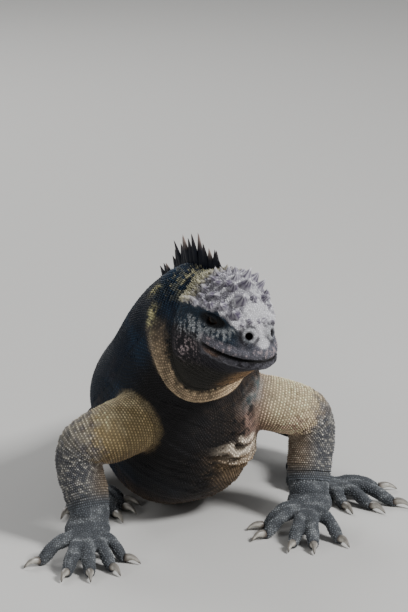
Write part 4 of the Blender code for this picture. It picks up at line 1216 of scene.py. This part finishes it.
# The unwrap of a hand: along the nearest wrist or digit line, and round it.
def handRoots(name, number, spots):
    lines, steps = handLines[name], 24
    middles = np.concatenate([interpolate(np.column_stack((np.arange(len(line)), line)),
                                          np.linspace(0, len(line) - 1, steps), False)
                              for line in lines])
    away = spots[:, None] - middles[None]
    nearest = np.argmin((away ** 2).sum(axis=-1), axis=1)
    part, step = nearest // steps, nearest % steps
    along = unit(np.roll(middles, -1, axis=0) - middles)[nearest]
    side = unit(np.cross(along, (0.0, 0.0, 1.0)))
    off = away[np.arange(len(spots)), nearest]
    ring = np.arctan2((off * np.cross(side, along)).sum(axis=1), (off * side).sum(axis=1))
    u = (part + 0.1 + 0.8 * step / steps) / len(lines)
    return np.stack((u, (number + 0.05 + 0.9 * (ring / fullTurn + 0.5)) / 4.0), axis=-1)


cones = {  # forward, radius and height of the head's conical scales
    "sizes": ((9, 2.4, 3.4), (18, 3, 4), (28, 3.9, 5.4), (37, 4.9, 7.4),
              (45, 5.4, 8.4), (51, 4.2, 6), (56, 2.5, 2.8)),
    "levels": (-0.2, 0.04, 0.34, 0.68), "widths": (1.08, 0.96, 0.62, 0.32),
    "ridges": 6, "flute": 0.74,        # hollow sides between the ridges, as a share of the radius
}


# Cone: an uneven many-sided foot whose hollow sides rise to a point, as a worn pyramid.
def coneSet(spots, normals, radius, height, seed):
    chance = np.random.default_rng(seed)
    side = unit(np.cross(normals, headForward))
    ahead = np.cross(side, normals)
    around = 2 * cones["ridges"]
    turn = evenTurns(around)[None, :] + chance.uniform(0.0, 1.0, (len(spots), 1))
    turn = turn + chance.uniform(-0.16, 0.16, (len(spots), around))
    uneven = chance.uniform(0.82, 1.18, (len(spots), around))
    uneven[:, 1::2] *= cones["flute"]
    flat = (np.cos(turn)[..., None] * side[:, None] + np.sin(turn)[..., None] * ahead[:, None])
    flat = flat * (uneven * radius[:, None])[..., None]
    bend = -0.10 * headForward + 0.10 * headUp + chance.normal(0.0, 0.12, spots.shape)
    ring = np.stack([spots[:, None] + (level * height[:, None] * (normals + max(level, 0) * bend)
                                       )[:, None] + share * flat
                     for level, share in zip(cones["levels"], cones["widths"])], axis=1)
    return ring, spots + height[:, None] * (normals + bend)


def headCones():
    chance = np.random.default_rng(5)
    turns = np.linspace(0.0, math.pi, 181)
    places, angles, radii, heights = [], [], [], []
    along, row = cones["sizes"][0][0], 0
    while along <= cones["sizes"][-1][0]:
        radius, height = interpolate(cones["sizes"], along)[0]
        points = headSurface(np.full(len(turns), along), turns)
        arc = runAlong(points)
        inside = np.flatnonzero(crownShare(points) > 0.7)
        if len(inside) < 4:
            break
        span = arc[inside[-1]] - arc[inside[0]]
        count = max(2, int(span / (1.95 * radius)) + row % 2)
        share = (np.arange(count) + 0.5) / count + chance.uniform(-0.22, 0.22, count) / count
        angles.append(np.interp(arc[inside[0]] + share * span, arc, turns))
        places.append(along + 0.35 * radius * chance.uniform(-1.0, 1.0, count))
        size = chance.uniform(0.6, 1.08, count)
        radii.append(radius * size)
        heights.append(height * size * chance.uniform(0.8, 1.2, count))
        along += 1.55 * radius
        row += 1
    places, angles, radii, heights = (np.concatenate(v) for v in (places, angles, radii, heights))
    spots, normals, keep = snap(headSurface(places, angles))
    spots, normals, radii, heights, places, angles = kept(
        keep, spots, normals, radii, heights, places, angles)
    ring, tip = coneSet(spots, normals, radii, heights, 8)
    points, faces, size = manyRings(ring, tip)
    around = 2 * cones["ridges"]
    # the hollow sides between the ridges take less of the pale tone than the ridges, so they stay
    # darker as painted shade in the flutes
    ridge, hollow = np.array((0.9, 0.62, 0.42, 0.55)), np.array((0.8, 0.15, 0.0, 0.0))
    shares = np.stack((ridge, hollow), axis=-1)[:, None].repeat(cones["ridges"], axis=1)
    shares = np.concatenate((shares.ravel(), [0.95]))
    pale = 0.22 * mottle(points, 3, 9) + np.repeat(chance.uniform(-0.2, 0.1, len(tip)), size)
    share = limit(np.tile(shares, len(tip)) + pale)
    colours = layered("headDarkAndHollowShade", len(points), (
        ("headPale", share), ("spiky", np.repeat(fade(places, 8, 20), size) * 0.7)))
    root = np.stack((places / 70.0, angles / fullTurn + 0.5), axis=-1)
    patches = rootPatches(root, limit(cones["levels"]), around)
    piece = outward(addPiece("headCones", points, faces, colours, patches))
    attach(piece, "root")
    print("headCones", len(tip))
    return spots, radii


print("stage: scales")
coneSpots, coneRadii = headCones()
trunkScales()
headScales()
limbScales()
handScales()

print("stage: colours")
fields = [field for coat in coats.values() for field in coat]
rootSpots, rootColours, rootMelt = (
    np.concatenate([field[k] for field in fields]) for k in (2, 3, 5))
rootTree = KDTree(len(rootSpots))
for number, spot in enumerate(rootSpots.tolist()):
    rootTree.insert(spot, number)
rootTree.balance()
melted = rootColours.copy()
for number in np.flatnonzero(rootMelt > 0.02):  # colours run into each other at the limb roots
    near = [entry[1] for entry in rootTree.find_range(rootSpots[number], scales["meltReach"])]
    melted[number] += rootMelt[number] * (rootColours[near].mean(axis=0) - melted[number])
rootColours = melted


def buildCoat(name, fields, colours):  # one piece from the coat's fields of scales
    slot, rootShade, tipHighlight, vary = scales["coats"][name]
    chance = np.random.default_rng(len(name))
    shades, patches, first = [], [], 0
    for ring, _, spots, _, unwrap, _ in fields:
        around = ring.shape[2]
        varied = chance.uniform(1.0 - vary, 1.0 + vary, (len(spots), 1))
        shade = colours[first:first + len(spots)] * varied
        # the root ring darkened as painted shade between the scales, the tip brightened as a
        # painted highlight
        level = np.concatenate((np.full(around, rootShade), [tipHighlight]))[None, :, None]
        shades.append(limit(shade[:, None] * level).reshape(-1, 3))
        patches.append(rootPatches(unwrap, [0.0], around))
        first += len(spots)
    rings, tips = (np.concatenate([field[k] for field in fields]) for k in (0, 1))
    points, faces, size = manyRings(rings, tips)
    points[:, 2] = np.maximum(points[:, 2], 0.0)
    faces = [part for part in faces if len(part)]
    piece = outward(addPiece(name, points, faces, np.concatenate(shades), np.concatenate(patches)))
    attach(piece, "root")
    print(name, len(points) // size)
    return first


start = 0
for name, fields in coats.items():
    start += buildCoat(name, fields, rootColours[start:])

# Skin, crest, claws and eyes: the skin takes a darker shade of the nearest scale's root, as painted
# shade in the gaps between the scales.
for hand in handPieces.values():
    bpy.data.objects.remove(hand)
spots = readPoints(skin.data)
nearest = [rootTree.find(spot)[1] for spot in spots.tolist()]
shade = rootColours[nearest] * scales["skinPaintedShade"]
# on the head the skin takes the head's own colours, also darkened as painted shade between the
# scales
onHead = smooth(headParts(spots)[0], 18, 26) * (
    norm(spots - headPlace(34.0, 0.0, 6.0)) < 48.0)
shade += onHead[:, None] * (headHide(spots) * scales["facePaintedShade"] - shade)
# inside the nostrils the skin is painted near-black, as painted shade in the holes
apart, depth = nostrilReach(spots)
inside = fade(apart - head["nostrilRadius"], -0.1, 0.5) * bump(depth, -2, 6)
paint(skin.data, mix(shade, "mouth", np.clip(inside * 1.1, 0.0, 0.95)))
paint(crestPiece.data, layered("crestDark", len(crestPoints), (
    ("crestPale", smooth(crestLevel, 0.45, 0.95) * crestPaleness),)))
number = len(clawPoints) // clawSize
levels, turns = np.linspace(0.0, 1.0, claws["rings"])[:-1], evenTurns(claws["around"])
clawLevel = np.tile(np.append(np.repeat(levels, len(turns)), 1.0), number)
ridge = np.tile(np.append(np.tile(np.sin(turns), len(levels)), 0.0), number)
paint(clawsPiece.data, layered("hornRoot", len(clawPoints), (
    ("hornPale", smooth(clawLevel, 0.05, 0.30)), ("hornTip", 0.75 * smooth(ridge, 0.1, 0.85)),
    ("hornTip", smooth(clawLevel, 0.75, 1)))))
paint(eyesPiece.data, layered("pupil", len(eyePoints), (
    ("iris", bump(eyeAngle, *eyes["iris"]) * smooth(eyeAngle, *eyes["pupil"])),)))


# Keratin scales over dry skin, dusted with salt: matt, with a weak sheen from the keratin.
# Skin between them is duller, crest blades and claws are bare keratin.
finishes = {  # roughness, specular, size of the dust and depth of its relief in metres
    "keratinScales": (0.58, 0.22, 0.002, 0.0002), "drySkin": (0.75, 0.25, 0.0015, 0.0003),
    "crestKeratin": (0.6, 0.15, 0.004, 0.0002), "clawHorn": (0.38, 0.5, 0.003, 0.0001),
}


def newMaterial(name, settings):
    material = bpy.data.materials.new(name)
    material.use_nodes = True
    shader = material.node_tree.nodes["Principled BSDF"]
    for key, value in settings.items():
        shader.inputs[key].default_value = value
    return material, material.node_tree, shader


def hideMaterial(name):
    roughness, specular, grain, depth = finishes[name]
    material, tree, shader = newMaterial(
        name, {"Roughness": roughness, "Specular IOR Level": specular})
    colour = addNode(tree, "ShaderNodeAttribute", {"attribute_name": "hide"})
    place = addNode(tree, "ShaderNodeTexCoord")
    dust = addNode(tree, "ShaderNodeTexNoise", {"Scale": 1.0 / grain, "Detail": 6.0},
                   {"Vector": place.outputs["Object"]})
    soft = addNode(tree, "ShaderNodeMapRange", {"From Min": 0.3, "From Max": 0.7, "To Min": 0.75,
                                                "To Max": 1.2}, {"Value": dust.outputs["Fac"]})
    tint = addNode(tree, "ShaderNodeVectorMath", {"operation": "SCALE"},
                   {"Vector": colour.outputs["Color"], "Scale": soft.outputs["Result"]})
    relief = addNode(tree, "ShaderNodeBump", {"Strength": 0.5, "Distance": depth},
                     {"Height": dust.outputs["Fac"]})
    tree.links.new(tint.outputs["Vector"], shader.inputs["Base Color"])
    tree.links.new(relief.outputs["Normal"], shader.inputs["Normal"])
    return material


made = {name: hideMaterial(name) for name in finishes}

# Living eye: a clear wet cornea, so a coat over the brown iris and the round pupil.
made["wetEye"], eyeTree, eyeShader = newMaterial("wetEye", {
    "Roughness": 0.3, "Specular IOR Level": 0.05, "Coat Weight": 0.16, "Coat Roughness": 0.03})
eyeTone = addNode(eyeTree, "ShaderNodeAttribute", {"attribute_name": "hide"})
eyeTree.links.new(eyeTone.outputs["Color"], eyeShader.inputs["Base Color"])
worn = {"crest": "crestKeratin", "claws": "clawHorn", "skin": "drySkin", "eyes": "wetEye"}
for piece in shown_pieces():
    if piece.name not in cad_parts:
        piece.data.materials.clear()
        piece.data.materials.append(made[worn.get(piece.name, "keratinScales")])


def addLamp(name, place, aim, size, power):
    lamp = bpy.data.lights.new(name, "AREA")
    lamp.energy, lamp.size = power, size
    lampObject = addObject(name, lamp)
    lampObject.location = place
    lampObject.rotation_euler = (Vector(aim) - Vector(place)).to_track_quat("-Z", "Y").to_euler()


studio = {  # lamps: place, size and power; world brightness; floor's half width in mm
    "lamps": {"key": ((1.5, -1.1, 1.7), 0.55, 82), "fill": ((-1.6, -1.4, 0.9), 0.5, 10),
              "rim": ((-0.8, 1.6, 1.4), 1, 25)},
    "aim": (0, 0, 0.1), "world": 0.36, "worldTone": (0.97, 0.98, 1, 1),
    "floor": 20000, "floorTone": "#b9b8b5",
}
corners = np.array([[-1, -1, 0], [1, -1, 0], [1, 1, 0], [-1, 1, 0]]) * studio["floor"] - toFrame
corners[:, 2] = -toFrame[2] - 0.2     # a hair under the feet
floorPiece = addPiece("floor", corners, [np.array([[0, 1, 2, 3]])])
floorPaint = newMaterial("studioFloor", {
    "Base Color": (*linear(studio["floorTone"]), 1.0), "Roughness": 0.85})[0]
floorPiece.data.materials.append(floorPaint)
for name, (place, size, power) in studio["lamps"].items():
    addLamp(name, place, studio["aim"], size, power)

world = bpy.data.worlds.new("studio")
world.use_nodes = True
background = world.node_tree.nodes["Background"]
background.inputs["Color"].default_value = studio["worldTone"]
background.inputs["Strength"].default_value = studio["world"]
bpy.context.scene.world = world

view = {"elevation": 15, "distance": 1800, "aimHeight": 169, "lens": 160.4}
aim = (np.array([0.0, 0.0, view["aimHeight"]]) + toFrame) * 0.001
rise = math.radians(view["elevation"])
away = 0.001 * view["distance"] * np.array([0.0, -math.cos(rise), math.sin(rise)])
cameraData = bpy.data.cameras.new("camera")
cameraData.lens, cameraData.sensor_width = view["lens"], 36.0
camera = addObject("camera", cameraData)
camera.location = aim + away
camera.rotation_euler = (quarterTurn - rise, 0.0, 0.0)
bpy.context.scene.camera = camera
